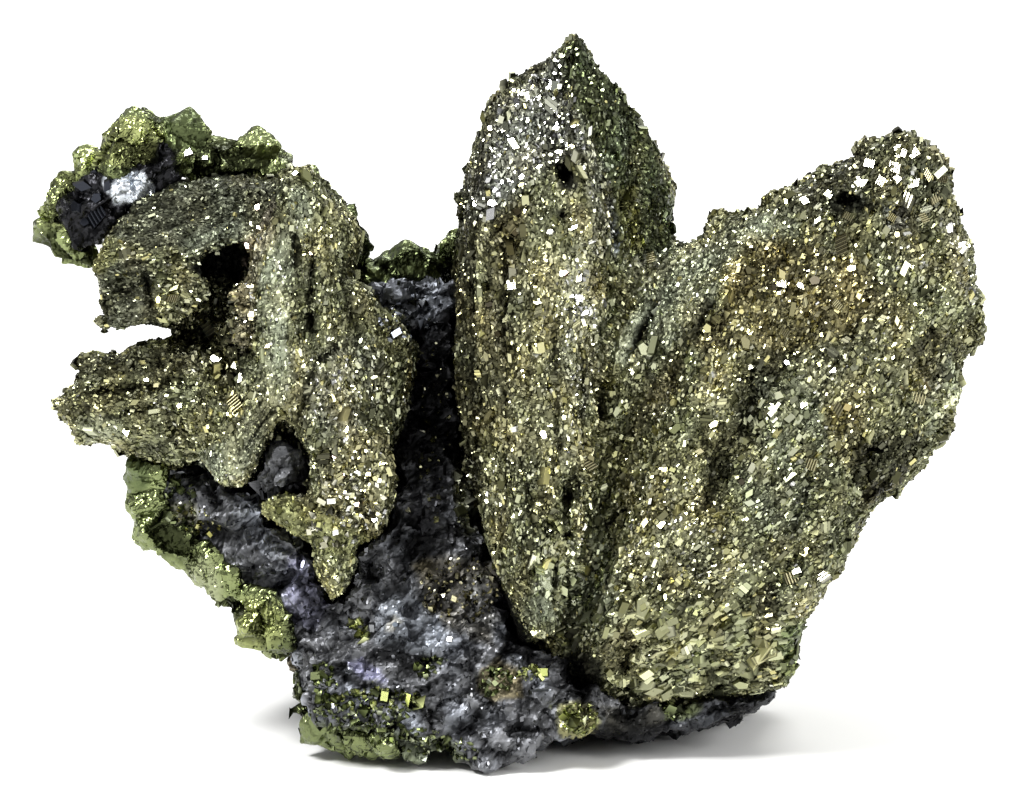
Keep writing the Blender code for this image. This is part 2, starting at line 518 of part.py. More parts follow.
def bed_of(neighbour, clearance):
    """The neighbour evenly swelled by the clearance, with few enough facets to cut a bed with."""
    dense = remeshed(new_object(f"{neighbour.name}_dense", neighbour.data.copy()), BED_VOXEL)
    swelled = pushed_out(f"{neighbour.name}_bed", dense, lambda vert: clearance * vert.calc_shell_factor())
    bed = remeshed(swelled, BED_VOXEL)
    bpy.data.objects.remove(dense)
    return faceted(bed, max(BED_FACETS * len(bed.data.polygons), FEWEST_BED_FACETS))


def bedded(obj, neighbours, clearance=CLEARANCE):
    """Cuts the beds of its neighbours out of the object."""
    for neighbour in neighbours:
        combined(obj, bed_of(neighbour, clearance), "DIFFERENCE")
    return without_crumbs(obj)


def stood(obj):
    """Cuts the object off flat at the resting plane."""
    below = 100 * MM
    shape = bmesh.new()
    bmesh.ops.create_cube(shape, size=2 * below)
    shape.transform(Matrix.Translation((0, 0, -below)))
    return without_crumbs(combined(obj, object_from("under_ground", shape), "DIFFERENCE"))


def painted(obj, finish):
    colour, metallic, roughness = COLOURS[finish]
    material = bpy.data.materials.get(finish) or bpy.data.materials.new(finish)
    material.use_nodes = True
    shader = material.node_tree.nodes["Principled BSDF"]
    shader.inputs["Base Color"].default_value = (*colour, 1)
    shader.inputs["Metallic"].default_value = metallic
    shader.inputs["Roughness"].default_value = roughness
    obj.data.materials.clear()
    obj.data.materials.append(material)
    return obj


def blade_group(name, forms, triangles, pits, crown, count, seed):
    """Intergrown pyrite blades with their pits, and their larger crystals fused on."""
    group = pitted(faceted(intergrowth(name, forms, growth_relief), triangles), pits)
    crystals = joined(f"{name}_crystals", [
        druse(group, count, seed), *crystals_at(f"{name}_crown", crown, cube_crystal)])
    return stood(combined(group, crystals, "UNION", overlaps_itself=True))


def centred(objects):
    """Moves the specimen so that the middle of its box stands over the origin."""
    points = [vert.co for obj in objects for vert in obj.data.vertices]
    middle = [(min(p[axis] for p in points) + max(p[axis] for p in points)) / 2 for axis in (0, 1)]
    for obj in objects:
        obj.data.transform(Matrix.Translation((-middle[0], -middle[1], 0)))


def chalcopyrite(name, spots, *neighbours):
    """A cluster of wedge-shaped crystals grown into each other, bedded in what carries them."""
    return painted(bedded(stood(cluster(name, spots, wedge_crystal)), neighbours), "chalcopyrite")


def main():
    clear_scene()
    big_blades = painted(blade_group(
        "centre_and_right_blades", {**CENTRE_BLADES, **FAN_BLADES}, PYRITE_TRIANGLES, PYRITE_PITS,
        PYRITE_CROWN, PYRITE_CRYSTALS, 5), "pyrite")
    left_blades = painted(blade_group(
        "left_blades", LEFT_BLADES, LEFT_TRIANGLES, [], LEFT_CROWN, LEFT_CRYSTALS, 8), "pyrite")
    rock = pitted(intergrowth("sulphide_rock", ROCK_LUMPS, rock_relief), ROCK_PITS)
    rock = bedded(faceted(rock, ROCK_TRIANGLES), [big_blades, left_blades], WIDE_CLEARANCE)
    rock = painted(stood(faceted(rock, BEDDED_ROCK_TRIANGLES)), "sulphide_rock")
    galena = painted(bedded(cluster("shelf_galena", SHELF_GALENA, cube_crystal), [left_blades]), "galena")
    bedded(chalcopyrite("shelf_chalcopyrite", SHELF_CHALCOPYRITE, left_blades), [galena], WIDE_CLEARANCE)
    rear_crystals = chalcopyrite("rear_chalcopyrite", REAR_CHALCOPYRITE, left_blades, rock)
    chalcopyrite("gap_chalcopyrite", GAP_CHALCOPYRITE, rock, big_blades, rear_crystals)
    chalcopyrite("edge_chalcopyrite", EDGE_CHALCOPYRITE, rock, left_blades)
    chalcopyrite("foot_chalcopyrite", FOOT_CHALCOPYRITE, rock)
    centred(bpy.context.scene.collection.objects)
    specimen = bpy.data.collections.new("pyrite_pseudomorph_specimen")
    bpy.context.scene.collection.children.link(specimen)
    for made in list(bpy.context.scene.collection.objects):
        bpy.context.scene.collection.objects.unlink(made)
        specimen.objects.link(made)


if __name__ == "__main__":
    main()
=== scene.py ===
"""Pyrite pseudomorph specimen: the finish of its crystals and rock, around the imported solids.

Places on the specimen are drawn as a person sees it from the front, looking a little down on it: right and
up in millimetres from the middle of its lower edge, and depth away from the person. `drawn_from` turns a
point of the specimen into a drawn place, and `on_specimen` turns it back.
"""

import json
import math
from collections import namedtuple

import bmesh
import bpy
import numpy as np
from bpy.props import FloatProperty, FloatVectorProperty, IntProperty, PointerProperty
from mathutils import Matrix, Vector, noise
from mathutils.bvhtree import BVHTree

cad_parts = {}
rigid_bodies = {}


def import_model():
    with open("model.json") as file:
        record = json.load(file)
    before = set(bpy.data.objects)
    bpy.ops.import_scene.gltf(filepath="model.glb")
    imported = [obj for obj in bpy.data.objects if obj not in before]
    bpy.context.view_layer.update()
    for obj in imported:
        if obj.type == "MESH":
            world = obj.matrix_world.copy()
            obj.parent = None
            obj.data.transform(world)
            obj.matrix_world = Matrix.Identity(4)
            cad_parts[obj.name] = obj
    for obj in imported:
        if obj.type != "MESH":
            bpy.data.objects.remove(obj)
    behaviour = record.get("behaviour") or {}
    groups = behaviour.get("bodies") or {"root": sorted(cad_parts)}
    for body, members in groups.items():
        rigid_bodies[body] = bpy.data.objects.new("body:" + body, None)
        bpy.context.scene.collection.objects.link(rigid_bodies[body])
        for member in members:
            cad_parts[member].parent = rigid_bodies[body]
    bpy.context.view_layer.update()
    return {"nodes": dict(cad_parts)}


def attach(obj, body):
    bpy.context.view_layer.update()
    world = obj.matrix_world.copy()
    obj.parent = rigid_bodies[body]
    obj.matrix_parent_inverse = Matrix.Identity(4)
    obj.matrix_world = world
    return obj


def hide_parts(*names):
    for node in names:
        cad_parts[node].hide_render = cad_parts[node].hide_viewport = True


bl_info = {
    "name": "Pyrite pseudomorph specimen",
    "version": (1, 0, 0),
    "blender": (4, 5, 0),
    "location": "View3D > Sidebar > Specimen",
    "description": "Models the crystal crusts and the rock of a pyrite pseudomorph specimen",
    "category": "Add Mesh",
}

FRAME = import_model()
FACET_SEED = 1  # the same facets, flakes and crystals each time

MM = 0.001
LOOK_DOWN = math.radians(12)
DRAWN_ORIGIN = Vector((0.228, -3.345, -2.8)) * MM  # where right, up and depth are all zero
LOWEST_GRAIN = 0.9 * MM  # no grain stands lower, so the specimen rests on its flat face
SIGHT = Vector((0, math.cos(LOOK_DOWN), -math.sin(LOOK_DOWN)))  # the way a viewer looks
MIDDLE = Vector((0, 0, 35)) * MM  # where the lights aim
KEY_PLACE = Vector((-0.42, -0.42, 0.72))
LENS, SENSOR, PICTURE_WIDTH = 300.0, 36.0, 102.4 * MM
BLEND_DEPTH = 9.0  # blends and zones act on what is less deep than this, in mm
CRACK_DEPTH = 2.0  # cracks open what is less deep than this, in mm
PIT_DEPTH = 4.0  # pits are narrowed where they are less deep than this, in mm
VEIN_DEPTH = 6.0  # brown veins run through the rock that is deeper than this, in mm
LEFT_END = -8.5  # the left blades are drawn left of this, in mm
PLAIN_GLINT = 0.06  # share of glints where no blend or zone gives another
GLINT_SHARE = 0.5  # how many of the faces that could throw the light at the viewer do
GLINT_PAINTED_SHADE = 1.4  # how much painted shade darkens the crust and its grains between glints, for each share of them
GOLD_SHARE = 0.03  # share of golden grains on the blades
TINT_LIMITS = (0.003, 0.93)  # the darkest and the lightest that a grain may be
GRAIN_SHAPE, FLAT_SHAPE = (1.2, 0.85, 1.0), (1.25, 0.9, 0.24)  # of a grain and a flake: length, width, height
FINEST, WIDEST, WIDEST_FLAT = 0.14, 1.1, 1.5  # limits of a grain's and a flake's width, in mm
FLAT_FROM = 1.25  # flakes lie where a zone makes the grains this many times as large, or larger
FLAKE = (0.9, 1.5, 1.2)  # size in mm of the flakes of crust, across, along and behind the growth
CELLS_APART = 7.3  # sets the cells of a pattern far enough apart for tilts of their own
CRUST_LIGHTER = (1.38, 1.43, 1.43)  # how much lighter and cooler the crust is than its named tints
SHELF_SLOPE = math.tan(math.radians(8))  # how the growth layers of the left shelf fall to the left
FAN_FOOT = (2.8, 4.0)  # the drawn place from which the layers of the fan spread
BEDDING_TURN = math.radians(38)  # of the rock's lumps
CLEAVAGE_TURN = math.radians(-35)  # of the galena's steps
GROWTH_STEPS = 5  # ridges across a striated crystal

Blend = namedtuple("Blend", "right up across along turn tint strength size crowding glint")
Zone = namedtuple("Zone", "corners tint strength size crowding glint edge")
Groove = namedtuple("Groove", "start end width deep")
Striated = namedtuple("Striated", "right up size turn tint", defaults=("silver",))
Plate = namedtuple("Plate", "right up wide high turn tint flash")
Bit = namedtuple("Bit", "right up across along turn tint count size")
Batch = namedtuple("Batch", "width per_mm2 spread coarse forms flat", defaults=(False,))


def linear(hex_colour):
    """An sRGB colour such as 8A865F as linear red, green and blue."""
    parts = [int(hex_colour[place:place + 2], 16) / 255 for place in (0, 2, 4)]
    return tuple(part / 12.92 if part <= 0.04045 else ((part + 0.055) / 1.055) ** 2.4 for part in parts)


TINTS = {
    "brass": linear("BAB48E"),
    "silver": linear("CECCB8"),
    "gold": linear("C2BC84"),
    "golden_brown": linear("9C8F64"),
    "brown": linear("645C44"),
    "olive": linear("8E8D6C"),
    "grey_green": linear("A8AA90"),
    "dark_green": linear("5C674A"),
    "pink": linear("BEA89A"),
    "yellow_green": linear("A5A26A"),
    # white is a painted highlight of faces that flash the light; shadow is painted shade; black is the
    # galena's own dark and painted shade in pits, hollows, cracks and gaps
    "white": linear("EEECE2"),
    "shadow": linear("3C392C"),
    "black": linear("141416"),
    "sphalerite": linear("68696C"),
    "slate": linear("868A92"),
    "violet": linear("86869C"),
    "blue_grey": linear("9AA4B0"),
    "pale_stone": linear("B9BEC4"),
    "chalcopyrite": linear("7E875C"),
    "foil": linear("A4AA6E"),
    "tarnish": linear("5C6644"),
    "moss": linear("747D56"),
    "dark_face": linear("3E3A30"),
    "dull": linear("5C5D50"),
    "galena": linear("2E3036"),
}

# Where the crust of the blades changes its tint, its grains' size, how closely they stand and how many glint
CRUST_BLENDS = [
    Blend(2.2, 40.0, 3.4, 20.0, 0, "brass", 0.3, 0.95, 1.1, 0.10),
    Blend(7.0, 44.0, 2.2, 10.0, 0, "silver", 0.35, 1.0, 1.1, 0.14),
    Blend(3.0, 22.0, 4.0, 10.0, 0, "olive", 0.6, 1.0, 1.0, 0.06),
    # a painted highlight: the white of a flashing crystal
    Blend(13.8, 51.3, 1.6, 1.0, 0, "white", 0.8, 1.3, 1.0, 0.5),
    Blend(34.0, 43.0, 6.0, 8.0, -30, "brass", 0.5, 1.1, 1.0, 0.11),
    Blend(16.0, 24.0, 6.5, 9.0, -20, "olive", 0.4, 1.1, 1.0, 0.08),
    Blend(-15.5, 44.0, 4.5, 9.0, -10, "olive", 0.5, 0.8, 1.0, 0.09),
    Blend(-17.8, 20.0, 1.8, 3.0, 0, "grey_green", 0.4, 0.8, 0.8, 0.06),
    Blend(-16.5, 38.5, 4.5, 6.0, -20, "silver", 0.4, 1.05, 1.0, 0.16),
]

# Parts of the crust with a sharp border, drawn as their corners
CRUST_ZONES = [
    # the darker green crystal behind the tip
    Zone(((6.6, 73.4), (7.8, 72.2), (8.9, 70.2), (11, 68), (12.8, 65.2), (14.4, 62.5), (15.3, 60.5),
          (16.3, 58.6), (16.6, 56.8), (16.3, 53.6), (16.2, 51.4), (12.4, 51.2), (11, 52.2), (10.8, 56.3),
          (10, 58.3), (8.6, 61.8), (6.8, 65), (5.4, 67.6), (4.8, 70.4), (5.4, 72.4)), "dark_green", 0.7, 0.75,
          1, 0.24, 0.4),
    # the golden specks at its foot
    Zone(((10.8, 58), (12.6, 58.4), (13.2, 52.4), (11, 51.8), (10.5, 55.3)), "yellow_green", 0.7, 1.1,
          1, 0.25, 0.6),
    # the bluish strip beside it
    Zone(((9.6, 58), (10.4, 57.2), (11, 55.3), (11.1, 51.8), (10.4, 51.8), (9.8, 54.8)), "slate", 0.85,
          0.7, 0.5, 0.01, 0.3),
    # the glittering upper left face, white as a painted highlight where the key light falls
    Zone(((4.4, 71.4), (5, 70.8), (5, 67.3), (6.3, 65), (7.8, 61.8), (4.8, 61), (1.8, 59), (-1.2, 55.6),
          (-4.2, 55.4), (-4.6, 57.8), (-3.8, 61), (-2.2, 64), (-1.2, 66.4), (1.6, 69)), "white", 0.4, 1.12, 1,
          0.55, 1.4),
    # the dark rim of that face
    Zone(((2.8, 70.8), (4.3, 71.2), (3.6, 70.2), (0.8, 68.2), (-1.2, 65.8), (-2, 63.8), (-2.8, 63.6),
          (-2.6, 65.6), (-1.4, 67.4), (0.3, 69.2)), "shadow", 0.6, 0.9, 0.9, 0.15, 0.4),
    # its dark left flank
    Zone(((-2.6, 65.2), (-3.4, 62.8), (-4.4, 59.8), (-5.6, 57.2), (-6, 53.8), (-6.2, 46.8), (-6, 36.8),
          (-4.8, 28.8), (-2.6, 27.8), (-3.4, 34.8), (-3.6, 43.8), (-3.2, 51.8), (-2.6, 57.8), (-2.4, 61.8)),
          "shadow", 0.75, 0.8, 0.9, 0.1, 0.8),
    # the ridge of the centre blade, silver as a painted highlight where it catches the light
    Zone(((4.8, 70.6), (5.6, 67.3), (7.6, 64.6), (9.4, 60.8), (10.6, 56.3), (10.6, 51.8), (8.4, 51.8),
          (8, 56.8), (6.8, 60), (4.8, 63.8), (3.6, 68.8)), "silver", 0.4, 1.1, 1.1, 0.36, 0.6),
    # painted shade in the pits near the ridge
    Zone(((4.4, 60.6), (5.4, 61), (6.4, 59.8), (7, 58.2), (6, 57.4), (5, 58.4)), "black", 0.95, 0.7,
          0.3, 0, 0.3),
    # painted shade in the small pit below them
    Zone(((4.4, 56), (5.4, 56.2), (5.8, 55.2), (4.8, 54.8)), "black", 0.9, 0.7, 0.3, 0, 0.25),
    # the brown band of the centre blade
    Zone(((-2.6, 53.2), (0.2, 57.8), (2, 56.4), (1.2, 51.8), (0, 46.8), (0, 36.8), (-3.4, 33.8),
          (-3.8, 38.8), (-3, 46.8)), "brown", 0.6, 1.3, 0.95, 0.05, 0.9),
    # the pale crust beside that band
    Zone(((1.8, 51.8), (7.8, 51.8), (9.4, 46.8), (9.2, 38.8), (4.8, 36.8), (2.8, 41.8), (2, 46.8)),
          "brass", 0.4, 1, 1, 0.12, 1),
    # the flat olive faces low on the blade
    Zone(((2.4, 23.3), (4.8, 23.6), (5.4, 20.8), (4.4, 17.6), (2.6, 17.8), (1.8, 20.8)), "grey_green",
          0.5, 1.8, 0.7, 0.01, 0.4),
    # the pale green foot of the blade
    Zone(((1, 17.8), (4, 17.8), (4.4, 15.6), (2.4, 14.8), (1.2, 15.6)), "grey_green", 0.7, 0.8, 0.7,
          0.02, 0.4),
    # the flat faces between blade and fan
    Zone(((5.4, 23), (8.8, 24), (11.4, 22), (11, 17.6), (8.6, 14.2), (4.4, 13.6), (4.8, 17.8)),
          "grey_green", 0.45, 1.7, 0.7, 0.01, 0.8),
    # the smooth shoulder of the fan
    Zone(((11, 50.6), (13.8, 51.4), (17.8, 52.8), (21.8, 54.6), (27.8, 56.8), (28.8, 54.3),
          (24.8, 52.8), (21.2, 50.6), (20, 46.8), (17.8, 43.8), (15.6, 42.3), (13.8, 43.8), (12.8, 46.8)),
          "grey_green", 0.75, 0.6, 0.95, 0.03, 0.8),
    # the pale strip below the shoulder
    Zone(((13, 46.6), (13.8, 47.2), (12.8, 43.8), (11.4, 40.6), (9.8, 41.2), (11, 44.3)), "grey_green",
          0.95, 0.4, 0.8, 0.01, 0.3),
    # the bright top of the fan
    Zone(((34.8, 62.6), (39.3, 63.8), (42.8, 62.6), (44, 58.8), (43.3, 56.8), (39.3, 54.3),
          (35.8, 55.3), (32.8, 54.3), (28.8, 55.3), (25.8, 55.3), (24.8, 56.3), (27.8, 57.8), (31.8, 60.3)),
          "dull", 0.35, 1.24, 1, 0.26, 0.8),
    # the dark upper edge of the fan
    Zone(((28.3, 58.3), (31.8, 60.3), (35, 62.2), (35.4, 59.6), (33.3, 58.2), (30, 56.2)), "shadow",
          0.6, 0.9, 0.9, 0.12, 0.6),
    # painted shade in the dark pocket near the top
    Zone(((31.6, 56.8), (33.3, 58.2), (35.4, 57.4), (35.8, 56), (34, 55.6), (32.3, 55)), "black", 0.85,
          0.7, 0.4, 0, 0.5),
    # the grey face below the top
    Zone(((36.8, 56.3), (39.3, 56.5), (39.5, 54.3), (37.3, 53.8)), "slate", 0.5, 1.3, 0.9, 0.05, 0.4),
    # the golden middle of the fan
    Zone(((23.8, 53.6), (28.8, 52.8), (35.8, 50.8), (36.8, 46.8), (33.8, 43.8), (28.8, 41.8),
          (23.8, 42.3), (18.8, 41.8), (17.8, 42.8), (21.3, 46.8), (21.6, 50.6)), "golden_brown", 0.65, 1, 1,
          0.14, 1.2),
    # the dark diagonal below the shoulder
    Zone(((18.8, 47.8), (20, 46.8), (17.8, 42.3), (14.8, 36.8), (12.4, 32.8), (11.6, 33.8),
          (13.8, 38.8), (16.8, 43.8)), "brown", 0.55, 0.8, 1, 0.05, 0.7),
    # the second dark diagonal
    Zone(((25, 42.8), (27.3, 41.8), (25.3, 36.8), (22.3, 31.8), (20, 26), (18.6, 26), (19.2, 29.8),
          (21.8, 35.8), (23.3, 39.8)), "shadow", 0.6, 0.9, 0.9, 0.06, 0.8),
    # the flat grey green faces of the fan
    Zone(((24.8, 39.3), (28.8, 39.6), (31.8, 36.8), (30.8, 31.8), (28.8, 24.8), (27.8, 20.8),
          (23.3, 26.8), (22.8, 32.8), (23.8, 36.8)), "grey_green", 0.35, 1.6, 0.8, 0.03, 0.8),
    # the smooth faces down its right edge
    Zone(((42.4, 41.2), (44.4, 41.6), (45, 38), (43.4, 34.2), (41.4, 33.4), (41.8, 37.4)), "grey_green",
          0.6, 1.5, 0.7, 0.03, 0.5),
    # the golden faces beside them
    Zone(((30.8, 36.8), (34.8, 36.8), (35.8, 32.8), (33.8, 29.8), (31.8, 31.8)), "golden_brown", 0.5,
          1.4, 1, 0.1, 0.8),
    # the dark lower right of the fan
    Zone(((33.8, 32.8), (38.8, 33.8), (40.8, 34.8), (41.8, 32.8), (39.3, 28.8), (37.3, 26.8),
          (35, 26.8), (33.8, 29.8)), "shadow", 0.75, 1.1, 1, 0.06, 0.6),
    # the right edge of the fan, white as a painted highlight
    Zone(((42.8, 56.3), (43.7, 56.3), (44.8, 53.3), (46, 50.3), (46.8, 47.8), (46, 46.8), (44.6, 48.3),
          (43.6, 51.3), (42.8, 54.3)), "white", 0.15, 0.9, 1, 0.4, 0.25),
    # the brown hollow inside that edge
    Zone(((41.3, 44.8), (43.3, 43.8), (43.8, 39.8), (42.3, 38.3), (40.3, 39.3), (39.3, 41.8)), "brown",
          0.6, 1.1, 1, 0.05, 0.8),
    # the sparkling lower middle of the fan
    Zone(((11.8, 29.8), (18.8, 29.3), (20.8, 25.8), (22.8, 20.8), (18.8, 16.8), (12.8, 18.8),
          (9.8, 22.8), (10.8, 26.8)), "brass", 0.5, 1.05, 1, 0.15, 1),
    # the flat faces of the base
    Zone(((7.8, 16.8), (18.8, 17.8), (26.8, 16.8), (28.8, 14.8), (28.6, 10.8), (26.8, 7.8), (22.8, 5.6),
          (13.8, 5.6), (9.8, 7.8), (8.8, 10.8), (10, 12.8)), "olive", 0.55, 1.65, 0.8, 0.005, 0.8),
    # the smooth streak of the base
    Zone(((17.8, 8.6), (20.8, 11.8), (24.8, 11.6), (26.4, 7.8), (22.8, 5.8), (18.8, 5.8)), "olive", 0.6,
          1.33, 0.6, 0.002, 0.8),
    # the mossy right end of the base
    Zone(((27.4, 15), (29.4, 15.6), (29.6, 8.8), (27.8, 7.6), (26.8, 10.8)), "moss", 0.8, 1.3, 0.7,
          0.02, 0.5),
    # the dark hollow among the shells
    Zone(((24.8, 18.8), (26.3, 19.3), (27, 16.8), (25.8, 14.8), (24.6, 15.6)), "shadow", 0.8, 1, 0.8,
          0.05, 0.3),
    # the brown left end of the base
    Zone(((8.8, 12.3), (11.3, 15.6), (12.8, 12.8), (11.3, 10.3), (9.6, 10)), "brown", 0.6, 0.8, 0.9,
          0.04, 0.6),
    # the dark underside of the base
    Zone(((8.8, 6.2), (12.8, 5.4), (18.8, 5), (24.8, 7.6), (27.8, 9), (28.8, 7.8), (22.8, 3.3),
          (12.8, 2.3), (8.6, 2.6)), "shadow", 0.85, 0.9, 0.9, 0.03, 0.5),
    # the top of the shelf
    Zone(((-39.4, 56.8), (-36.2, 58.8), (-33.2, 59.8), (-27.2, 60.2), (-22.4, 58.8), (-24, 55.3),
          (-25.7, 53.4), (-31.2, 52.3), (-36.2, 52.3), (-39.4, 53.2)), "dull", 0.8, 0.6, 0.9, 0.03, 0.6),
    # the dull streaks on it
    Zone(((-36.7, 53.6), (-34.7, 55.6), (-30.7, 56.2), (-28.7, 55.4), (-33.2, 52.8), (-36.2, 52.2)),
          "shadow", 0.4, 0.5, 0.9, 0.02, 0.5),
    # the pale lobes under its edge
    Zone(((-33, 52.2), (-30.7, 53.6), (-27.2, 55.4), (-25.6, 54.6), (-26, 53), (-29.4, 50.6),
          (-31.6, 50.4)), "grey_green", 0.45, 0.5, 0.8, 0.02, 0.4),
    # painted shade in the black hollow under the shelf
    Zone(((-31.2, 50.6), (-29.4, 52), (-28, 52.8), (-26, 52.8), (-26.2, 50), (-27.2, 48.6),
          (-28.7, 49.6), (-30.7, 49.3), (-31.6, 50)), "black", 0.97, 0.6, 0.25, 0, 0.3),
    # the dark recess below it
    Zone(((-32.7, 49), (-26.7, 49.6), (-26.4, 46.8), (-27.2, 41.8), (-26, 39.6), (-27.7, 37.8),
          (-29.7, 40.8), (-28.7, 45.6), (-31.2, 46.8)), "shadow", 0.45, 0.9, 0.9, 0.1, 0.5),
    # painted shade in the black slot beside the recess
    Zone(((-28, 44.8), (-26.9, 45), (-26.2, 41.8), (-26.2, 40.2), (-27.4, 38), (-28.2, 40.3)), "black",
          0.6, 0.7, 0.6, 0.03, 0.5),
    # the front of the shelf
    Zone(((-41.4, 49.8), (-39.7, 51.8), (-36.2, 51.3), (-35, 48.3), (-34.6, 43.8), (-41, 43.6)), "dull",
          0.7, 0.6, 1, 0.04, 0.5),
    # the crystals beside the recess
    Zone(((-35.2, 48.8), (-31.2, 48.3), (-28.2, 46.8), (-29.4, 42.3), (-32.7, 41.6), (-34.7, 43.8)),
          "olive", 0.5, 1.3, 1, 0.14, 0.6),
    # the green end of the wedge
    Zone(((-41.8, 53.2), (-39.2, 53.4), (-38.2, 51.8), (-40, 49.8), (-41.6, 49.6)), "yellow_green", 0.5,
          0.8, 0.9, 0.06, 0.5),
    # the dark upper edge of the spur
    Zone(((-43.4, 41.6), (-40.2, 41.6), (-36.2, 42.3), (-31.2, 43), (-29.6, 40.8), (-34.7, 39.4),
          (-39.2, 39.6), (-43.2, 39.6)), "shadow", 0.65, 0.8, 0.95, 0.05, 0.5),
    # the dull face of the spur
    Zone(((-43.2, 39.3), (-39.2, 39), (-34.7, 38.3), (-35.2, 34.3), (-40.2, 34.8), (-44.2, 34.8),
          (-45.6, 36.8)), "olive", 0.6, 0.7, 1, 0.07, 0.6),
    # the pale knobs under the spur
    Zone(((-43.4, 35.3), (-41.2, 35.8), (-38.6, 35), (-39, 33.4), (-41.2, 32.8), (-42.8, 32.4)),
          "grey_green", 0.5, 0.7, 0.9, 0.04, 0.4),
    # the smooth strip of the left blade
    Zone(((-24.4, 50.6), (-23, 53), (-22.2, 56.3), (-21.2, 58.6), (-19.8, 57.8), (-19.5, 55.3),
          (-21, 51.8), (-21.8, 46.8), (-22.1, 42.3), (-24.4, 42), (-25.1, 44.8), (-24.9, 47.8)), "grey_green",
          0.7, 0.5, 0.9, 0.01, 0.5),
    # the smooth foot of that strip
    Zone(((-25, 42.6), (-22, 42.3), (-21.2, 38.8), (-24, 33.8), (-26.5, 29.8), (-29.7, 29),
          (-31.7, 30.3), (-30.7, 32.3), (-27.2, 33.8), (-25.4, 37.8)), "grey_green", 0.8, 0.55, 0.9, 0.02,
          0.5),
    # the pale grains along its left edge
    Zone(((-26.4, 52.8), (-25, 54.3), (-23.4, 57.3), (-23.3, 53.8), (-24.8, 50.6), (-25.2, 46.8),
          (-25.4, 42.3), (-26.5, 41.8), (-26.9, 46.8), (-26.8, 50.8)), "pink", 0.25, 1.1, 1, 0.2, 0.4),
    # the olive strip on its right
    Zone(((-21.2, 51.8), (-19.2, 53.8), (-17.2, 51.8), (-16, 46.8), (-16.2, 42.8), (-20.2, 41.8),
          (-21.6, 43.8), (-21.6, 47.8)), "olive", 0.4, 0.9, 1, 0.12, 0.6),
    # the dark right flank of the left blade
    Zone(((-21.2, 34.3), (-16.2, 38.8), (-10.7, 42.3), (-9.4, 32.8), (-15.2, 32.8), (-20.2, 32)),
          "shadow", 0.15, 0.8, 1, 0.2, 0.8),
    # the glittering patch
    Zone(((-19.2, 32.6), (-15.2, 33.6), (-11.8, 32.8), (-11, 26.8), (-12.6, 23.6), (-17.2, 24.6),
          (-19.2, 27.6)), "brass", 0.5, 1.2, 0.85, 0.33, 0.5),
    # the yellowish lobe below it
    Zone(((-25.9, 27.3), (-22.2, 28), (-18.7, 26), (-12, 22.8), (-12.8, 21), (-18.2, 22), (-21.2, 23.2),
          (-25, 25.3)), "yellow_green", 0.6, 0.45, 0.45, 0.01, 0.5),
    # the pale knob under the lobe
    Zone(((-19.9, 22.8), (-16.7, 23.3), (-16, 20.8), (-17.2, 17.2), (-19, 16.8), (-19.7, 19.8)),
          "yellow_green", 0.4, 0.7, 1, 0.1, 0.4),
]

# Painted shade for the dark hollows that cross from the crust to the rock
PAINTED_SHADE_HOLLOWS = [
    # painted shade in the black hole at the foot of the centre blade
    Zone(((-1.8, 16.8), (-0.6, 18.2), (0.2, 17.4), (1.2, 15), (2, 12.8), (2.8, 11.8), (0.8, 11.4),
          (-1, 11.8), (-0.9, 14.6)), "black", 0.97, 0.6, 0.2, 0, 0.3),
    # painted shade in the dark recess under the fan
    Zone(((4.8, 11.6), (6.8, 12.4), (9.2, 11.3), (9.4, 9.6), (8.4, 8.4), (7.6, 6.6), (6.4, 7.8),
          (5.2, 9.6)), "black", 0.93, 0.6, 0.3, 0, 0.5),
]

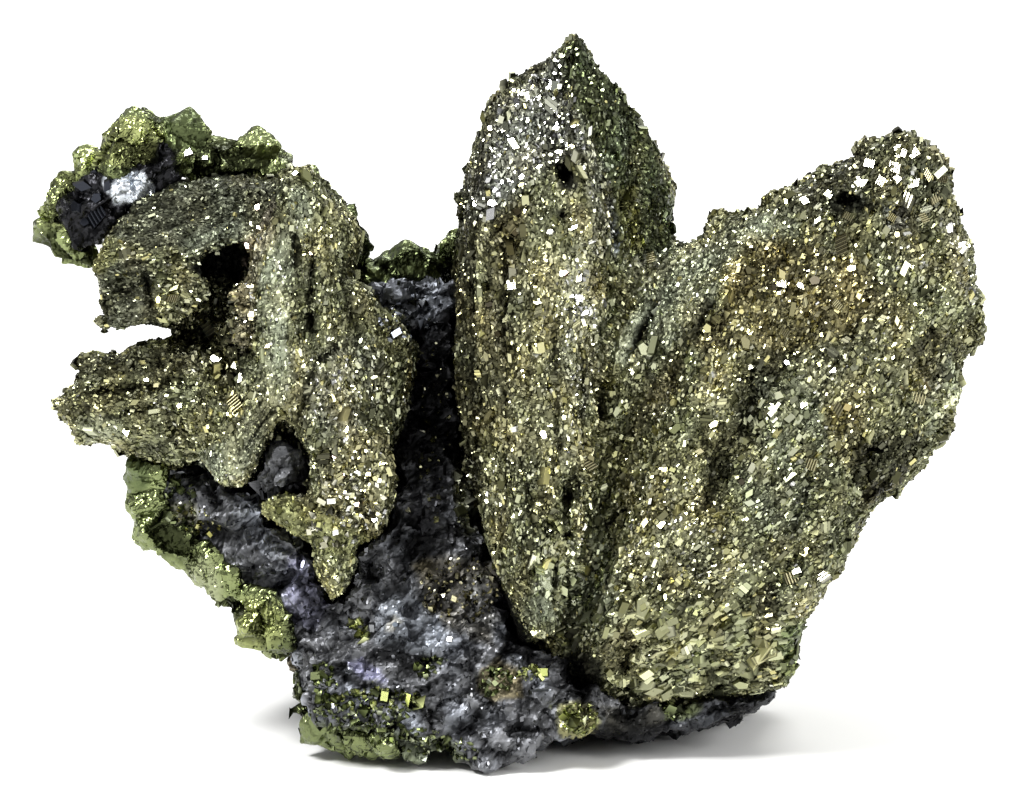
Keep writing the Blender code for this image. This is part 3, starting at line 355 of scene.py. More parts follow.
# Parts of the rock with a sharp border
ROCK_ZONES = [
    # the pale matt lumps in the gap
    Zone(((-5.6, 31.6), (-4.2, 31.8), (-3.4, 29.8), (-3.2, 26.8), (-2.6, 24), (-4.4, 23.8),
          (-5.4, 26.3)), "grey_green", 0.75, 0.8, 0.3, 0.01, 0.4),
    # the matt dark lump
    Zone(((-26, 33.2), (-21.6, 33.6), (-20.6, 29.8), (-21.2, 27.6), (-24.2, 27.6), (-25.8, 28.8)),
          "sphalerite", 0.9, 0.6, 0.2, 0.01, 0.5),
    # the violet sheen below the left blade
    Zone(((-22.2, 21.6), (-19.4, 22), (-18.2, 18.8), (-18.2, 15.8), (-20, 14), (-22.4, 15),
          (-22.6, 17.8)), "violet", 0.7, 0.8, 0.5, 0.1, 0.8),
    # the blue dome
    Zone(((-13.8, 14.8), (-12.8, 17.8), (-10.7, 18.8), (-8.2, 16.4), (-6.4, 13.8), (-7.2, 11.6),
          (-11.2, 11.8), (-13.4, 12.8)), "blue_grey", 0.2, 0.8, 0.35, 0.03, 0.8),
    # a painted highlight on it, a white spot
    Zone(((-12.3, 15.2), (-11.4, 15.7), (-10.6, 15), (-11.4, 14.1), (-12.2, 14.3)), "white", 0.7, 0.5,
          0.2, 0.02, 0.2),
    # the grey lump beside the dome
    Zone(((-17.6, 15.6), (-16, 16.2), (-14, 14.6), (-13.8, 11.8), (-16.2, 10.8), (-17.4, 12.3)),
          "sphalerite", 0.6, 0.7, 0.3, 0.02, 0.5),
    # the violet ridge
    Zone(((-16.6, 11.2), (-14.6, 11.6), (-13, 10.4), (-12.4, 9), (-14.6, 9.4)), "violet", 0.85, 0.8,
          0.5, 0.12, 0.3),
    # painted shade in the black crack below the ridge
    Zone(((-18.2, 10.4), (-16.2, 10), (-12.8, 8.8), (-13.6, 8.2), (-16.4, 8.8)), "black", 0.95, 0.6,
          0.3, 0, 0.25),
    # the golden specks on the dark rock
    Zone(((-10, 20.8), (-6.2, 21.6), (-1.6, 20.8), (-1.4, 17.8), (-1.8, 12.8), (-6.2, 14.3),
          (-8.2, 17.8)), "golden_brown", 0.2, 1, 2.2, 0.2, 0.8),
    # the dusty olive corner
    Zone(((-34.8, 26.8), (-31.6, 27.2), (-30.8, 24.8), (-33.6, 24)), "olive", 0.5, 0.7, 0.8, 0.04, 0.6),
    # the black shadows of the left rock
    Zone(((-27.2, 20.8), (-25, 21.2), (-23, 18.3), (-22, 15.8), (-23.6, 16.2), (-25.6, 18.8)), "black",
          0.75, 0.7, 0.5, 0.02, 0.6),
    # the grey green plane of the left rock
    Zone(((-28, 26.3), (-25.4, 25.6), (-22.2, 22.3), (-23.2, 20.8), (-26.8, 23.8)), "slate", 0.6, 0.7,
          0.3, 0.05, 0.6),
    # the olive lump at the foot
    Zone(((-3, 10.4), (-1.2, 11.3), (1.2, 10), (1.2, 7.6), (-1.6, 7), (-3.2, 8.4)), "golden_brown", 0.6,
          0.6, 0.5, 0.03, 0.4),
    # the green lump under the recess
    Zone(((5, 6.6), (7.2, 7.4), (8.8, 6.2), (8.8, 4), (6.4, 3.2), (4.8, 4.6)), "yellow_green", 0.75,
          0.8, 1.2, 0.08, 0.4),
    # painted shade on the base under the fan
    Zone(((8.8, 6.8), (12.8, 6.2), (17.8, 7.4), (16, 4.8), (9.8, 3.2)), "shadow", 0.6, 0.8, 0.5, 0.03,
          0.6),
    # its mossy spots
    Zone(((15.2, 6.8), (17.8, 7.6), (19.2, 6.4), (17.2, 4.8), (15.6, 5.2)), "moss", 0.7, 0.8, 0.8, 0.05,
          0.4),
    # painted shade on the dark bottom of the rock, under the fan
    Zone(((8.8, 4), (18.8, 4.6), (24.8, 6.8), (27.8, 7.8), (27.8, 5.6), (18.8, 2.6), (8.8, 2)), "black",
          0.9, 0.7, 0.4, 0.02, 0.8),
    # the mossy lower edge
    Zone(((-21.2, 5.2), (-13.2, 4.6), (-5.2, 3), (-4.2, 0.6), (-11.2, 1.2), (-21.2, 2)), "moss", 0.6,
          0.8, 1.2, 0.05, 0.6),
]

# Where the rock changes its tint, with painted shade in the gap between the blades and under the fan
ROCK_BLENDS = [
    # painted shade in the gap between the left and centre blades
    Blend(-8.0, 36.0, 3.6, 18.0, -3, "black", 0.95, 0.8, 0.6, 0.0),
    Blend(-9.5, 23.0, 3.0, 5.0, 0, "black", 0.8, 0.8, 0.6, 0.02),
    Blend(-18.8, 20.5, 1.6, 4.0, 0, "violet", 0.6, 0.9, 0.7, 0.06),
    Blend(-7.0, 13.5, 5.0, 2.0, -10, "slate", 0.5, 0.9, 0.6, 0.04),
    Blend(-29.0, 22.5, 4.0, 6.0, 45, "sphalerite", 0.7, 0.8, 0.6, 0.05),
    # painted shade under the fan
    Blend(16.0, 5.0, 10.0, 2.4, 5, "black", 0.6, 0.8, 0.7, 0.02),
    Blend(-3.0, 1.5, 6.0, 2.4, 0, "sphalerite", 0.7, 0.8, 0.6, 0.03),
    Blend(-10.0, 48.0, 5.0, 3.0, 0, "slate", 0.7, 0.9, 0.8, 0.06),
]

# Faces of the dark galena cubes
GALENA_CUBES = [Plate(*row) for row in (
    (-42.4, 58.6, 1.6, 1.4, 20, "galena", 0), (-40.9, 57.2, 1.5, 1.3, 35, "galena", 0),
    (-43.0, 56.4, 1.3, 1.5, 10, "galena", 0), (-41.2, 60.0, 1.4, 1.0, 30, "galena", 0),
    (-39.9, 58.6, 1.0, 1.4, 25, "galena", 0), (-42.2, 54.9, 1.4, 1.0, 30, "galena", 0),
)]
GALENA_STRIATED = [Striated(-41.0, 55.6, 1.9, 120, "galena")]

# The white cleavage face of the galena
GALENA_FACE = Zone(((-40, 58.5), (-39.3, 60.1), (-37.7, 60.3), (-36.2, 59.6), (-35.6, 58.4), (-37, 57.3),
                    (-39.3, 57.1)), "pale_stone", 1, 1, 1, 0, 0.3)

# Where the green and brassy crystals change their tint. Here the size says how crumpled their faces are.
CHALCOPYRITE_BLENDS = [
    Blend(-17.0, 54.0, 4.0, 6.0, 0, "tarnish", 0.5, 0.5, 1.0, 0.03),
    Blend(-10.0, 51.0, 5.0, 3.0, 0, "tarnish", 0.8, 0.4, 1.0, 0.02),
    Blend(-37.6, 30.0, 1.8, 3.0, 0, "tarnish", 1.0, 0.2, 1.0, 0.01),
    Blend(-35.3, 22.8, 3.0, 3.8, 0, "moss", 0.6, 0.35, 1.0, 0.05),
    Blend(-31.0, 18.4, 2.6, 3.4, 0, "grey_green", 0.4, 0.4, 1.0, 0.06),
    Blend(-25.6, 14.6, 3.4, 3.2, 0, "foil", 0.7, 0.7, 1.0, 0.12),
    Blend(-19.5, 4.6, 2.8, 2.8, 0, "moss", 0.9, 0.3, 0.2, 0.02),
    Blend(-12.0, 6.0, 4.0, 3.0, 0, "foil", 0.5, 1.2, 2.0, 0.15),
]

# Their single faces, drawn as their corners
CHALCOPYRITE_ZONES = [
    # painted shade in the black hollow under the first peak
    Zone(((-36.6, 60.7), (-36.2, 61.8), (-35.0, 62.9), (-33.6, 63.2), (-32.6, 62.5), (-33.2, 61.4),
          (-35.0, 60.2)), "black", 0.95, 0.4, 0.3, 0, 0.3),
    # the bright crumpled face
    Zone(((-41.4, 61.8), (-40.8, 63.6), (-39.2, 64.9), (-37.2, 65.4), (-35.4, 64.4), (-34.6, 63.4),
          (-35.4, 61.4), (-37.2, 60), (-39.4, 60.6), (-41.2, 60.6)), "foil", 0.65, 1.4, 1, 0.12, 0.4),
    # the smooth face of the second peak
    Zone(((-34.9, 66.2), (-31.6, 66.4), (-29.8, 63.4), (-30.7, 61.6), (-33.2, 62.4), (-34.7, 63.4)),
          "tarnish", 0.9, 0.3, 0.5, 0.01, 0.4),
    # the yellow green faces beside it
    Zone(((-30, 63.6), (-28, 63.6), (-25.4, 64), (-23.2, 62.6), (-22.2, 60.3), (-22.6, 58.4),
          (-25, 58.8), (-27.2, 59.8), (-29.7, 61.4)), "chalcopyrite", 0.8, 0.5, 1, 0.04, 0.5),
    # the faces of the left rim
    Zone(((-47, 54.4), (-46.6, 58.6), (-43.9, 60.8), (-41.7, 62.8), (-40.8, 61.6), (-42.7, 59.1),
          (-44.2, 57.1), (-44.4, 54.3)), "foil", 0.3, 0.8, 1, 0.1, 0.4),
    # the smooth wedge below them
    Zone(((-48.4, 53.4), (-46.7, 54.6), (-44.2, 54), (-41, 53.4), (-40.4, 49.2), (-45.2, 50.8)),
          "chalcopyrite", 0.9, 0.4, 0.5, 0.02, 0.5),
]

# Cracks and gaps between growth layers, from one end to the other
CRUST_GROOVES = [Groove(*row) for row in (
    ((14.3, 47.6), (11.9, 41.8), 0.5, 1.3), ((9.1, 46.8), (9.2, 39.3), 0.3, 0.7),
    ((8.9, 39.3), (9.4, 35), 0.4, 1.2), ((6.5, 30.2), (5.6, 26.8), 0.35, 0.9),
    ((5.6, 26.8), (5.2, 23), 0.35, 1.0), ((4.9, 21.6), (4.5, 18), 0.35, 0.9),
    ((11.6, 26.8), (9.2, 24), 0.35, 0.9), ((20.4, 29.8), (19.2, 26), 0.5, 0.7),
    ((18.8, 34.8), (20.4, 29.8), 0.7, 0.5), ((20, 47.6), (18, 43), 0.5, 0.8),
    ((17.8, 42.8), (12.8, 32.8), 0.4, 0.5), ((25.6, 42.3), (22.3, 31.8), 0.5, 0.4),
    ((23.3, 41.8), (24.8, 38.3), 0.4, 0.4), ((28.8, 43.8), (24.8, 36.8), 0.4, 0.5),
    ((35.8, 46.8), (28.8, 34.8), 0.35, 0.4), ((41.8, 44.8), (42.3, 41.8), 0.6, 0.7),
    ((34.3, 31.8), (39.3, 32.8), 0.5, 0.5), ((34.8, 26.8), (39.3, 29.8), 0.5, 0.6),
    ((26.3, 11.3), (23.8, 9.6), 0.4, 0.9), ((23.8, 9.6), (20.3, 7.8), 0.35, 0.7),
    ((16.8, 7.8), (22.8, 9.6), 0.3, 0.5), ((12.8, 12.8), (10.8, 9.8), 0.5, 0.7),
    ((-3.6, 56.8), (-4, 34.8), 0.4, 0.6), ((-0.6, 57.8), (-0.7, 24.8), 0.35, 0.4),
    ((1.8, 50.8), (2.3, 29.8), 0.35, 0.4), ((4.4, 46.8), (4.8, 29.8), 0.4, 0.5),
    ((7.3, 43.8), (7.8, 30.8), 0.3, 0.4), ((10, 57.8), (11.2, 51.8), 0.4, 0.8),
    ((4.8, 66.8), (8.8, 57.8), 0.3, 0.4), ((0.8, 33.8), (3.3, 20.8), 0.3, 0.5),
    ((18.8, 22.8), (12.8, 16.8), 0.35, 0.4), ((30.8, 33.8), (27.8, 22.8), 0.4, 0.5),
    ((-21, 54), (-21.2, 50), 0.35, 0.9), ((-19.4, 52), (-19.9, 46.3), 0.4, 0.9),
    ((-20, 46), (-19.4, 43.6), 0.6, 1.2), ((-16.7, 43), (-19.2, 40.8), 0.35, 0.8),
    ((-19.2, 40.8), (-21.6, 33.8), 0.4, 0.7), ((-16.8, 51.8), (-13.6, 37.8), 0.35, 0.5),
    ((-22.5, 36.8), (-27.2, 31.3), 0.35, 0.5), ((-25, 53.6), (-23.2, 56.8), 0.3, 0.7),
    ((-39.7, 48.1), (-37.2, 48.1), 0.4, 0.7), ((-40.2, 47.8), (-40.2, 44.3), 0.4, 0.6),
    ((-36.2, 50.6), (-35.2, 44.6), 0.4, 0.6), ((-40.7, 49.8), (-32.2, 51.8), 0.35, 0.4),
    ((-39.2, 55.8), (-32.7, 56.8), 0.3, 0.3), ((-36.2, 54.2), (-29.7, 55.6), 0.35, 0.4),
    ((-43.2, 37.4), (-32.2, 39.4), 0.45, 0.7), ((-41.2, 34.8), (-34.7, 36.8), 0.4, 0.6),
    ((-34.4, 36.8), (-33.6, 32.8), 0.4, 0.6), ((-31.2, 43.8), (-32.7, 41.8), 0.4, 0.7),
)]

# Cubes ruled by growth steps: where, how wide, their turn and their tint
STRIATED_CRYSTALS = [Striated(*row) for row in (
    (39, 57.2, 2, 70), (32.7, 52.6, 1.7, 25, "brass"), (26.9, 48.7, 1.1, 90), (27.2, 44, 1, 60, "brass"),
    (29.9, 30.8, 1.5, 70, "brass"), (28, 19.6, 1.6, 110, "brass"), (29.2, 16.2, 1.8, 170, "brass"),
    (46, 44, 1.9, 25, "brass"), (44.8, 52.3, 1.1, 50), (40.6, 37.6, 1.5, 75, "brass"), (-30, 44.6, 2.2, 35),
    (-27.2, 36.8, 1.7, 40, "brass"), (-27.2, 40.6, 0.9, 60), (14.1, 51.4, 1.2, 15, "brass"),
    (38.1, 60.2, 1.3, 80), (40, 61.8, 1.3, 35), (41.3, 59.6, 1, 60, "brass"), (0.2, 48.6, 1.1, 8),
    (35.6, 60.6, 1.1, 75), (33.4, 55.4, 1, 60, "brass"), (40, 58.6, 1.1, 80), (7.8, 30.8, 1.4, 30, "brass"),
    (32.4, 36.6, 1.4, 60, "brass"), (30.8, 19.8, 1.5, 35), (33.8, 35, 0.9, 110, "brass"),
    (23.6, 40.6, 0.9, 20), (32.4, 46.8, 1, 50, "brass"), (-29.4, 41.2, 1.1, 45),
    (-33.4, 47.3, 1, 70, "brass"), (36.8, 58.8, 1.2, 60), (42.3, 57.2, 1.2, 110, "brass"),
    (38.8, 61.7, 1.1, 70), (41.8, 61.6, 1.2, 60), (42.9, 59.2, 1, 80, "brass"),
    (37.6, 55.4, 1.1, 60, "brass"), (34.6, 58.6, 1, 30), (40.9, 55.4, 1.1, 20, "brass"), (38.2, 58.9, 1, 140),
    (45.1, 49.6, 1, 40, "brass"), (31.6, 57.6, 0.9, 50), (29.2, 57.0, 0.9, 25),
)]

# Large flat crystal faces: where, how wide and high, their turn, and whether they flash
PLATES = [Plate(*row) for row in (
    (2.8, 67, 0.72, 0.64, 20, "silver", 1), (0.4, 62.5, 0.88, 1.8, 10, "silver", 1),
    (1.2, 59.2, 0.64, 0.72, 0, "white", 1), (-1.7, 56.6, 1.1, 1, 30, "white", 1),
    (-3.4, 56.6, 0.8, 0.72, 40, "silver", 1), (4, 53.8, 0.88, 0.72, 0, "white", 1),
    (6.9, 49.2, 0.72, 0.96, 20, "silver", 1), (5.4, 49.7, 0.64, 0.88, -30, "pink", 1),
    (7.4, 45.8, 1.3, 0.64, 20, "white", 1), (4, 68.6, 0.32, 1.5, 0, "white", 1),
    (8.8, 52.4, 0.88, 0.48, -30, "silver", 1), (6.3, 54.2, 1.4, 0.48, 25, "silver", 1),
    (-0.6, 63.9, 0.8, 0.56, 30, "silver", 1), (-1.9, 64.1, 0.72, 0.64, 0, "white", 1),
    (0.8, 55.9, 1.3, 1, 20, "brown", 0), (0.5, 53.8, 1.1, 0.8, 50, "brown", 0),
    (-2, 46.8, 0.96, 0.72, 20, "dark_face", 0), (-1.2, 43.8, 0.88, 0.96, 60, "brown", 0),
    (-2.8, 43.8, 1, 0.8, 35, "yellow_green", 0), (6, 43.8, 0.96, 0.64, 60, "grey_green", 0),
    (0, 48.8, 0.8, 0.48, 10, "brass", 1), (-1.5, 51.8, 0.8, 0.64, 45, "olive", 0),
    (2.8, 46.8, 0.72, 0.48, 20, "silver", 1), (28.8, 48.5, 0.8, 0.8, 10, "white", 1),
    (30.2, 49, 1.6, 1.2, 8, "dark_face", 0), (26, 48.4, 0.72, 1, 0, "dark_face", 0),
    (38.4, 53.6, 0.8, 0.8, 30, "brass", 1), (23.7, 43.9, 0.56, 0.96, 15, "gold", 1),
    (33.8, 50.2, 1.3, 0.8, 15, "brass", 1), (35.1, 45.2, 0.56, 0.88, 0, "silver", 1),
    (31.9, 40.1, 1.4, 0.64, 10, "white", 1), (27.5, 40.9, 0.8, 0.64, 0, "white", 1),
    (29.2, 36.7, 0.96, 0.8, 30, "silver", 1), (34.2, 40.5, 1.4, 1, 20, "grey_green", 0),
    (45.6, 42.7, 1.4, 0.8, 10, "grey_green", 1), (43.7, 54.2, 0.8, 1.1, 20, "white", 1),
    (44.6, 52.5, 0.8, 1.6, -30, "white", 1), (45.6, 50.2, 0.8, 1.1, -20, "silver", 1),
    (45.9, 47.5, 0.8, 1, 0, "white", 1), (46.9, 45, 0.72, 0.96, 0, "white", 1),
    (38.4, 62.2, 0.96, 0.64, 20, "silver", 1), (39.9, 61.7, 0.72, 1.3, 10, "white", 1),
    (40.8, 60, 0.72, 0.64, 50, "silver", 1), (39.3, 56.8, 0.96, 1.4, 20, "slate", 0),
    (40.3, 38.3, 1.6, 0.4, 10, "gold", 1), (40.6, 37.6, 1.4, 0.4, 40, "golden_brown", 0),
    (39.3, 37.6, 1.4, 0.4, 75, "gold", 1), (41.4, 38.6, 1.3, 0.4, 120, "golden_brown", 0),
    (38.6, 38.6, 1.1, 0.4, 150, "brown", 0), (26.6, 37.8, 1.6, 1.1, 20, "grey_green", 0),
    (27.7, 35.4, 1.4, 0.96, 40, "grey_green", 0), (25.6, 36, 1.1, 0.8, 10, "olive", 0),
    (28.7, 33.6, 1, 0.72, 60, "grey_green", 0), (24.8, 34.3, 1.1, 0.64, 30, "olive", 0),
    (18.8, 32.2, 1, 0.72, 25, "brass", 0), (22.9, 29.2, 0.96, 0.8, 0, "dark_face", 0),
    (32, 32.8, 1.1, 0.72, 30, "olive", 0), (33.4, 36.6, 0.96, 1.1, 60, "golden_brown", 0),
    (20.4, 38.3, 1, 0.64, 50, "gold", 1), (16, 34.8, 0.96, 0.64, 35, "olive", 0),
    (15.1, 24.8, 1.1, 0.72, 50, "brass", 1), (19.3, 19.3, 1.2, 0.72, 20, "grey_green", 0),
    (13.8, 15.8, 1.1, 0.72, 60, "olive", 0), (8.8, 16.8, 0.8, 0.96, 30, "brass", 0),
    (23.3, 21.8, 1.2, 0.8, 30, "olive", 0), (29.3, 22.3, 1.1, 0.4, 30, "gold", 1),
    (29.4, 22.2, 1.1, 0.4, 100, "gold", 1), (29.1, 21.9, 0.96, 0.4, 150, "brass", 1),
    (25.8, 15.8, 1.1, 0.64, 10, "brass", 1), (20.8, 13.8, 0.96, 0.64, 40, "olive", 0),
    (17.8, 10.8, 1.1, 0.72, 60, "olive", 0), (-32, 61.8, 1.1, 1, 20, "white", 1),
    (-30.4, 61.3, 0.96, 0.56, 0, "white", 1), (-26.5, 49.9, 0.56, 1.4, 0, "white", 1),
    (-26, 52.5, 0.56, 1.1, 15, "pink", 1), (-29.3, 41.3, 1.3, 0.96, 25, "white", 1),
    (-34.8, 47.1, 0.64, 0.96, 0, "yellow_green", 1), (-26.7, 39.4, 0.56, 1.4, 10, "silver", 1),
    (-23.9, 42.5, 0.64, 0.64, 0, "brass", 1), (-25, 56.3, 0.64, 0.8, 20, "pink", 1),
    (-21.2, 59.6, 0.72, 0.56, 40, "silver", 1), (-19.6, 51.8, 0.56, 0.8, 0, "pink", 1),
    (-18.1, 28.8, 0.72, 0.64, 0, "gold", 1), (-16.6, 29.8, 0.64, 0.64, 30, "pink", 1),
    (-15.2, 26.8, 0.72, 0.64, 0, "pink", 1), (-13.4, 25.3, 0.72, 0.72, 20, "white", 1),
    (-16, 24.8, 0.72, 0.64, 50, "gold", 0), (-17.4, 31.6, 0.64, 0.64, 20, "pink", 1),
    (-14, 29.8, 0.72, 0.56, 0, "brass", 1), (-12.6, 27.6, 0.64, 0.72, 30, "silver", 0),
    (-10.2, 26.2, 0.72, 0.8, 0, "white", 1), (-6, 13.3, 0.64, 0.64, 0, "white", 1),
    (-11.4, 14.8, 0.9, 0.64, 15, "blue_grey", 0), (-20.7, 20.8, 0.48, 1.1, 0, "violet", 1),
    (-14, 10, 1.3, 0.56, -20, "violet", 0), (-15.7, 10.8, 0.96, 0.56, -30, "violet", 0),
    (-18.2, 46.8, 0.64, 0.64, 0, "grey_green", 0), (-12, 43.3, 0.96, 0.56, -20, "slate", 0),
    (-14.7, 36.3, 0.8, 0.64, 20, "olive", 0), (-21.6, 54.3, 0.64, 0.96, 0, "grey_green", 0),
    (-38.7, 37.6, 0.8, 0.56, 20, "olive", 0), (-35.2, 38.8, 0.72, 0.64, 0, "brass", 0),
    (-40.4, 34.8, 0.72, 0.56, 40, "olive", 0), (-32.8, 36.6, 0.8, 0.64, 20, "brass", 1),
)]

# Small crystals of one mineral gathered on another: where, how far they reach, how many and how large
GATHERED_BITS = [Bit(*row) for row in (
    (-15.2, 14.3, 1.0, 1.4, 20, "foil", 40, 0.36), (-8.2, 10.6, 1.4, 1.1, 20, "chalcopyrite", 46, 0.38),
    (-9.5, 7.3, 0.7, 0.7, 0, "foil", 10, 0.5), (-1.4, 9.2, 1.8, 1.6, 0, "chalcopyrite", 60, 0.36),
    (7.0, 5.4, 1.9, 1.6, 0, "foil", 120, 0.36), (-5.0, 18.2, 4.2, 3.4, 0, "brass", 150, 0.26),
    (-33.0, 27.0, 1.6, 3.0, 0, "moss", 60, 0.4), (-14.6, 6.4, 5.4, 2.0, 8, "moss", 190, 0.36),
    (-14.0, 7.4, 4.6, 1.2, 0, "foil", 70, 0.34), (-9.0, 3.2, 6.5, 1.3, -12, "chalcopyrite", 130, 0.36),
    (-18.6, 8.4, 1.4, 2.6, 0, "chalcopyrite", 60, 0.4), (-4.6, 28.4, 1.0, 4.2, 0, "grey_green", 90, 0.42),
    (-7.6, 34.0, 1.6, 9.0, 0, "olive", 80, 0.28), (-10.4, 45.6, 3.0, 2.2, 0, "slate", 70, 0.36),
    (-17.0, 26.0, 3.4, 4.0, 0, "silver", 60, 0.5), (2.0, 10.0, 1.4, 0.8, 0, "foil", 40, 0.34),
    (-31.4, 25.2, 2.4, 1.4, -20, "yellow_green", 60, 0.3), (16.4, 6.2, 1.6, 1.0, 0, "moss", 50, 0.36),
)]

# Where the skins are drawn out or in, so that the outline follows the specimen's: the place, how far around
# it this reaches, and how far to the right and up
NUDGES = [
    (-37.0, 65.0, 2.2, 0.0, 1.2), (-33.2, 65.6, 2.0, 0.0, -0.2), (-30.6, 64.2, 1.4, -0.3, -0.4),
    (-28.6, 63.4, 1.6, 0.0, -0.3), (-42.6, 62.2, 1.3, -0.3, 0.6), (-40.2, 64.0, 1.6, 0.2, -0.2),
    (-43.8, 61.0, 1.3, 0.5, -0.8), (-44.6, 59.8, 1.1, -0.4, 0.6), (-46.5, 58.2, 1.4, 0.5, -0.2),
    (-46.9, 55.2, 1.2, -0.3, 0.0), (-46.6, 51.4, 1.8, 0.2, 0.7), (-43.0, 51.2, 2.2, 1.1, -1.2),
    (-41.1, 50.6, 1.6, -0.8, 0.0), (-41.6, 46.6, 1.6, 0.1, 0.0), (-38.6, 44.6, 2.0, 0.0, -0.3),
    (-35.4, 42.8, 1.3, 0.0, 0.5), (-37.2, 41.6, 2.4, 0.0, 1.35), (-41.4, 41.3, 1.8, -0.2, 0.9),
    (-45.4, 36.9, 2.0, -0.8, 0.1), (-41.2, 32.4, 1.2, 0.0, 0.1), (-43.4, 32.8, 1.4, -0.2, -0.8),
    (-39.6, 31.8, 1.4, 0.0, -0.7), (-38.8, 30.0, 1.8, 0.5, 0.0), (-38.8, 26.4, 1.2, 0.2, 0.0),
    (-37.0, 22.6, 2.2, -0.45, -0.1), (-32.4, 19.0, 1.2, 0.1, 0.0), (-30.6, 17.6, 1.3, 0.0, 0.3),
    (-29.0, 14.8, 1.6, 0.5, 0.1), (-26.2, 12.2, 1.4, 0.0, -0.1), (-23.2, 11.4, 1.2, 0.3, 0.8),
    (-22.4, 9.0, 1.6, 0.2, 0.0), (-22.0, 6.6, 1.2, -0.7, 0.0), (-22.4, 4.6, 1.8, 0.6, 0.0),
    (-21.2, 2.8, 1.6, 0.1, -0.3), (-24.0, 62.6, 1.6, 0.2, 0.4), (-19.2, 59.8, 2.2, -0.3, 0.2),
    (-17.0, 57.2, 2.4, -0.2, 0.0), (-14.8, 54.4, 1.8, 0.5, 0.0), (-13.9, 51.4, 1.9, -0.9, -2.0),
    (-10.4, 52.4, 2.0, 0.0, 0.2), (-7.4, 52.8, 1.2, 0.0, -0.3), (-6.0, 53.0, 1.0, 0.0, 0.4),
    (-4.2, 62.6, 2.4, -0.1, 0.0), (-2.4, 67.2, 2.0, -0.2, 0.1), (8.4, 70.2, 2.2, -0.45, -0.1),
    (12.2, 66.0, 2.0, -0.3, -0.1), (14.0, 62.6, 2.6, 0.1, 0.0), (16.2, 55.0, 2.4, -0.6, 0.0),
    (17.0, 53.0, 1.0, 0.0, 0.5), (21.2, 55.6, 1.2, 0.0, 0.6), (23.6, 56.0, 1.4, 0.0, 0.5),
    (26.8, 57.6, 1.4, 0.0, 0.7), (33.8, 62.0, 1.2, 0.4, -0.4), (31.4, 60.2, 1.2, 0.0, -0.3),
    (37.4, 63.0, 2.0, 0.0, 0.5), (40.6, 63.2, 2.2, 0.2, 0.9), (43.2, 60.4, 2.2, 0.5, 0.2),
    (44.9, 57.0, 1.3, -0.5, 0.0), (45.6, 54.0, 1.2, 0.2, 0.0), (46.5, 51.2, 1.2, -0.7, 0.0),
    (46.2, 49.4, 1.2, -1.0, 0.0), (46.9, 47.4, 1.1, 0.3, 0.0), (46.9, 45.8, 2.2, 0.8, 0.0),
    (45.4, 37.0, 3.4, -0.55, 0.0), (35.0, 26.0, 5.0, -0.35, 0.25), (30.4, 15.6, 1.6, -0.4, 0.1),
]

# Where the centre blade ends, how far down its point reaches and how high it is drawn
CENTRE_TIP = (6.6, 73.2, 3.2, 0.9)

# Pits of the solid that the crust narrows: their middle, how far around it this reaches, and how far it grows
NARROWED_PITS = [
    (5.4, 59.8, 1.2, 0.7), (5.1, 55.3, 1.2, 0.5), (33.2, 56.8, 1.4, 0.7), (5.1, 25.0, 1.4, 1.2),
    (5.4, 22.5, 1.2, 0.9), (19.8, 27.0, 1.6, 1.0), (24.2, 39.4, 1.8, 0.9), (36.0, 31.6, 1.6, 0.9),
    (-27.6, 44.4, 2.2, 2.2), (-27.4, 40.6, 1.8, 1.8), (-29.0, 47.6, 1.6, 1.6), (-27.2, 47.4, 1.4, 1.4),
]


def on_specimen(right, up, depth):
    """A drawn place, in millimetres, as a point of the specimen."""
    nearer = -depth
    return DRAWN_ORIGIN + MM * Vector((
        right, -math.cos(LOOK_DOWN) * nearer, up / math.cos(LOOK_DOWN) + math.sin(LOOK_DOWN) * nearer))


EYE = on_specimen(0.2, 37.4, -6.0) - SIGHT * PICTURE_WIDTH * LENS / SENSOR  # where the viewer stands


def drawn_from(points):
    """Rows of right, up and depth, in millimetres, for rows of points of the specimen."""
    moved = (np.asarray(points) - np.array(DRAWN_ORIGIN)) / MM
    nearer = -moved[:, 1] / math.cos(LOOK_DOWN)
    up = (moved[:, 2] - math.sin(LOOK_DOWN) * nearer) * math.cos(LOOK_DOWN)
    return np.column_stack((moved[:, 0], up, -nearer))


def noise_at(places, stretch, offset=0.0):
    """Smooth noise from about -1 to 1 at rows of places, with lumps as large as the stretch in mm."""
    scaled = places / np.array(stretch) + offset
    return np.array([noise.noise(Vector(row)) for row in scaled])


def cells_at(places, size, offset=0.0):
    """How far rows of places are from the borders of cells of that size in mm: 0 at a border, 1 at most."""
    rows = places / size + offset
    return np.array([min(1.0, 2.0 * (d[1] - d[0])) for d in (noise.voronoi(Vector(row))[0] for row in rows)])


def rows_of(items, name):
    """Three numbers of each item, such as a vertex's coordinates, as rows."""
    flat = np.empty(len(items) * 3)
    items.foreach_get(name, flat)
    return flat.reshape(-1, 3)


def coordinates_of(mesh):
    return rows_of(mesh.vertices, "co")


def move_vertices(mesh, coords):
    mesh.vertices.foreach_set("co", coords.ravel())
    mesh.update()


def new_piece(name, mesh):
    piece = bpy.data.objects.new(name, mesh)
    bpy.context.scene.collection.objects.link(piece)
    return piece


def baked(piece):
    """Replaces the piece's mesh by what its modifiers make of it."""
    graph = bpy.context.evaluated_depsgraph_get()
    mesh = bpy.data.meshes.new_from_object(piece.evaluated_get(graph))
    piece.modifiers.clear()
    piece.data = mesh
    return piece


def fine_copy(name, node, voxel):
    """A finely and evenly meshed copy of a solid, as a new piece."""
    shape = bmesh.new()
    shape.from_mesh(FRAME["nodes"][node].data)
    bmesh.ops.remove_doubles(shape, verts=shape.verts, dist=0.001 * MM)
    mesh = bpy.data.meshes.new(name)
    shape.to_mesh(mesh)
    shape.free()
    piece = new_piece(name, mesh)
    fuse = piece.modifiers.new("fuse", "REMESH")
    fuse.mode = "VOXEL"
    fuse.voxel_size = voxel * MM
    return nudged(baked(piece))


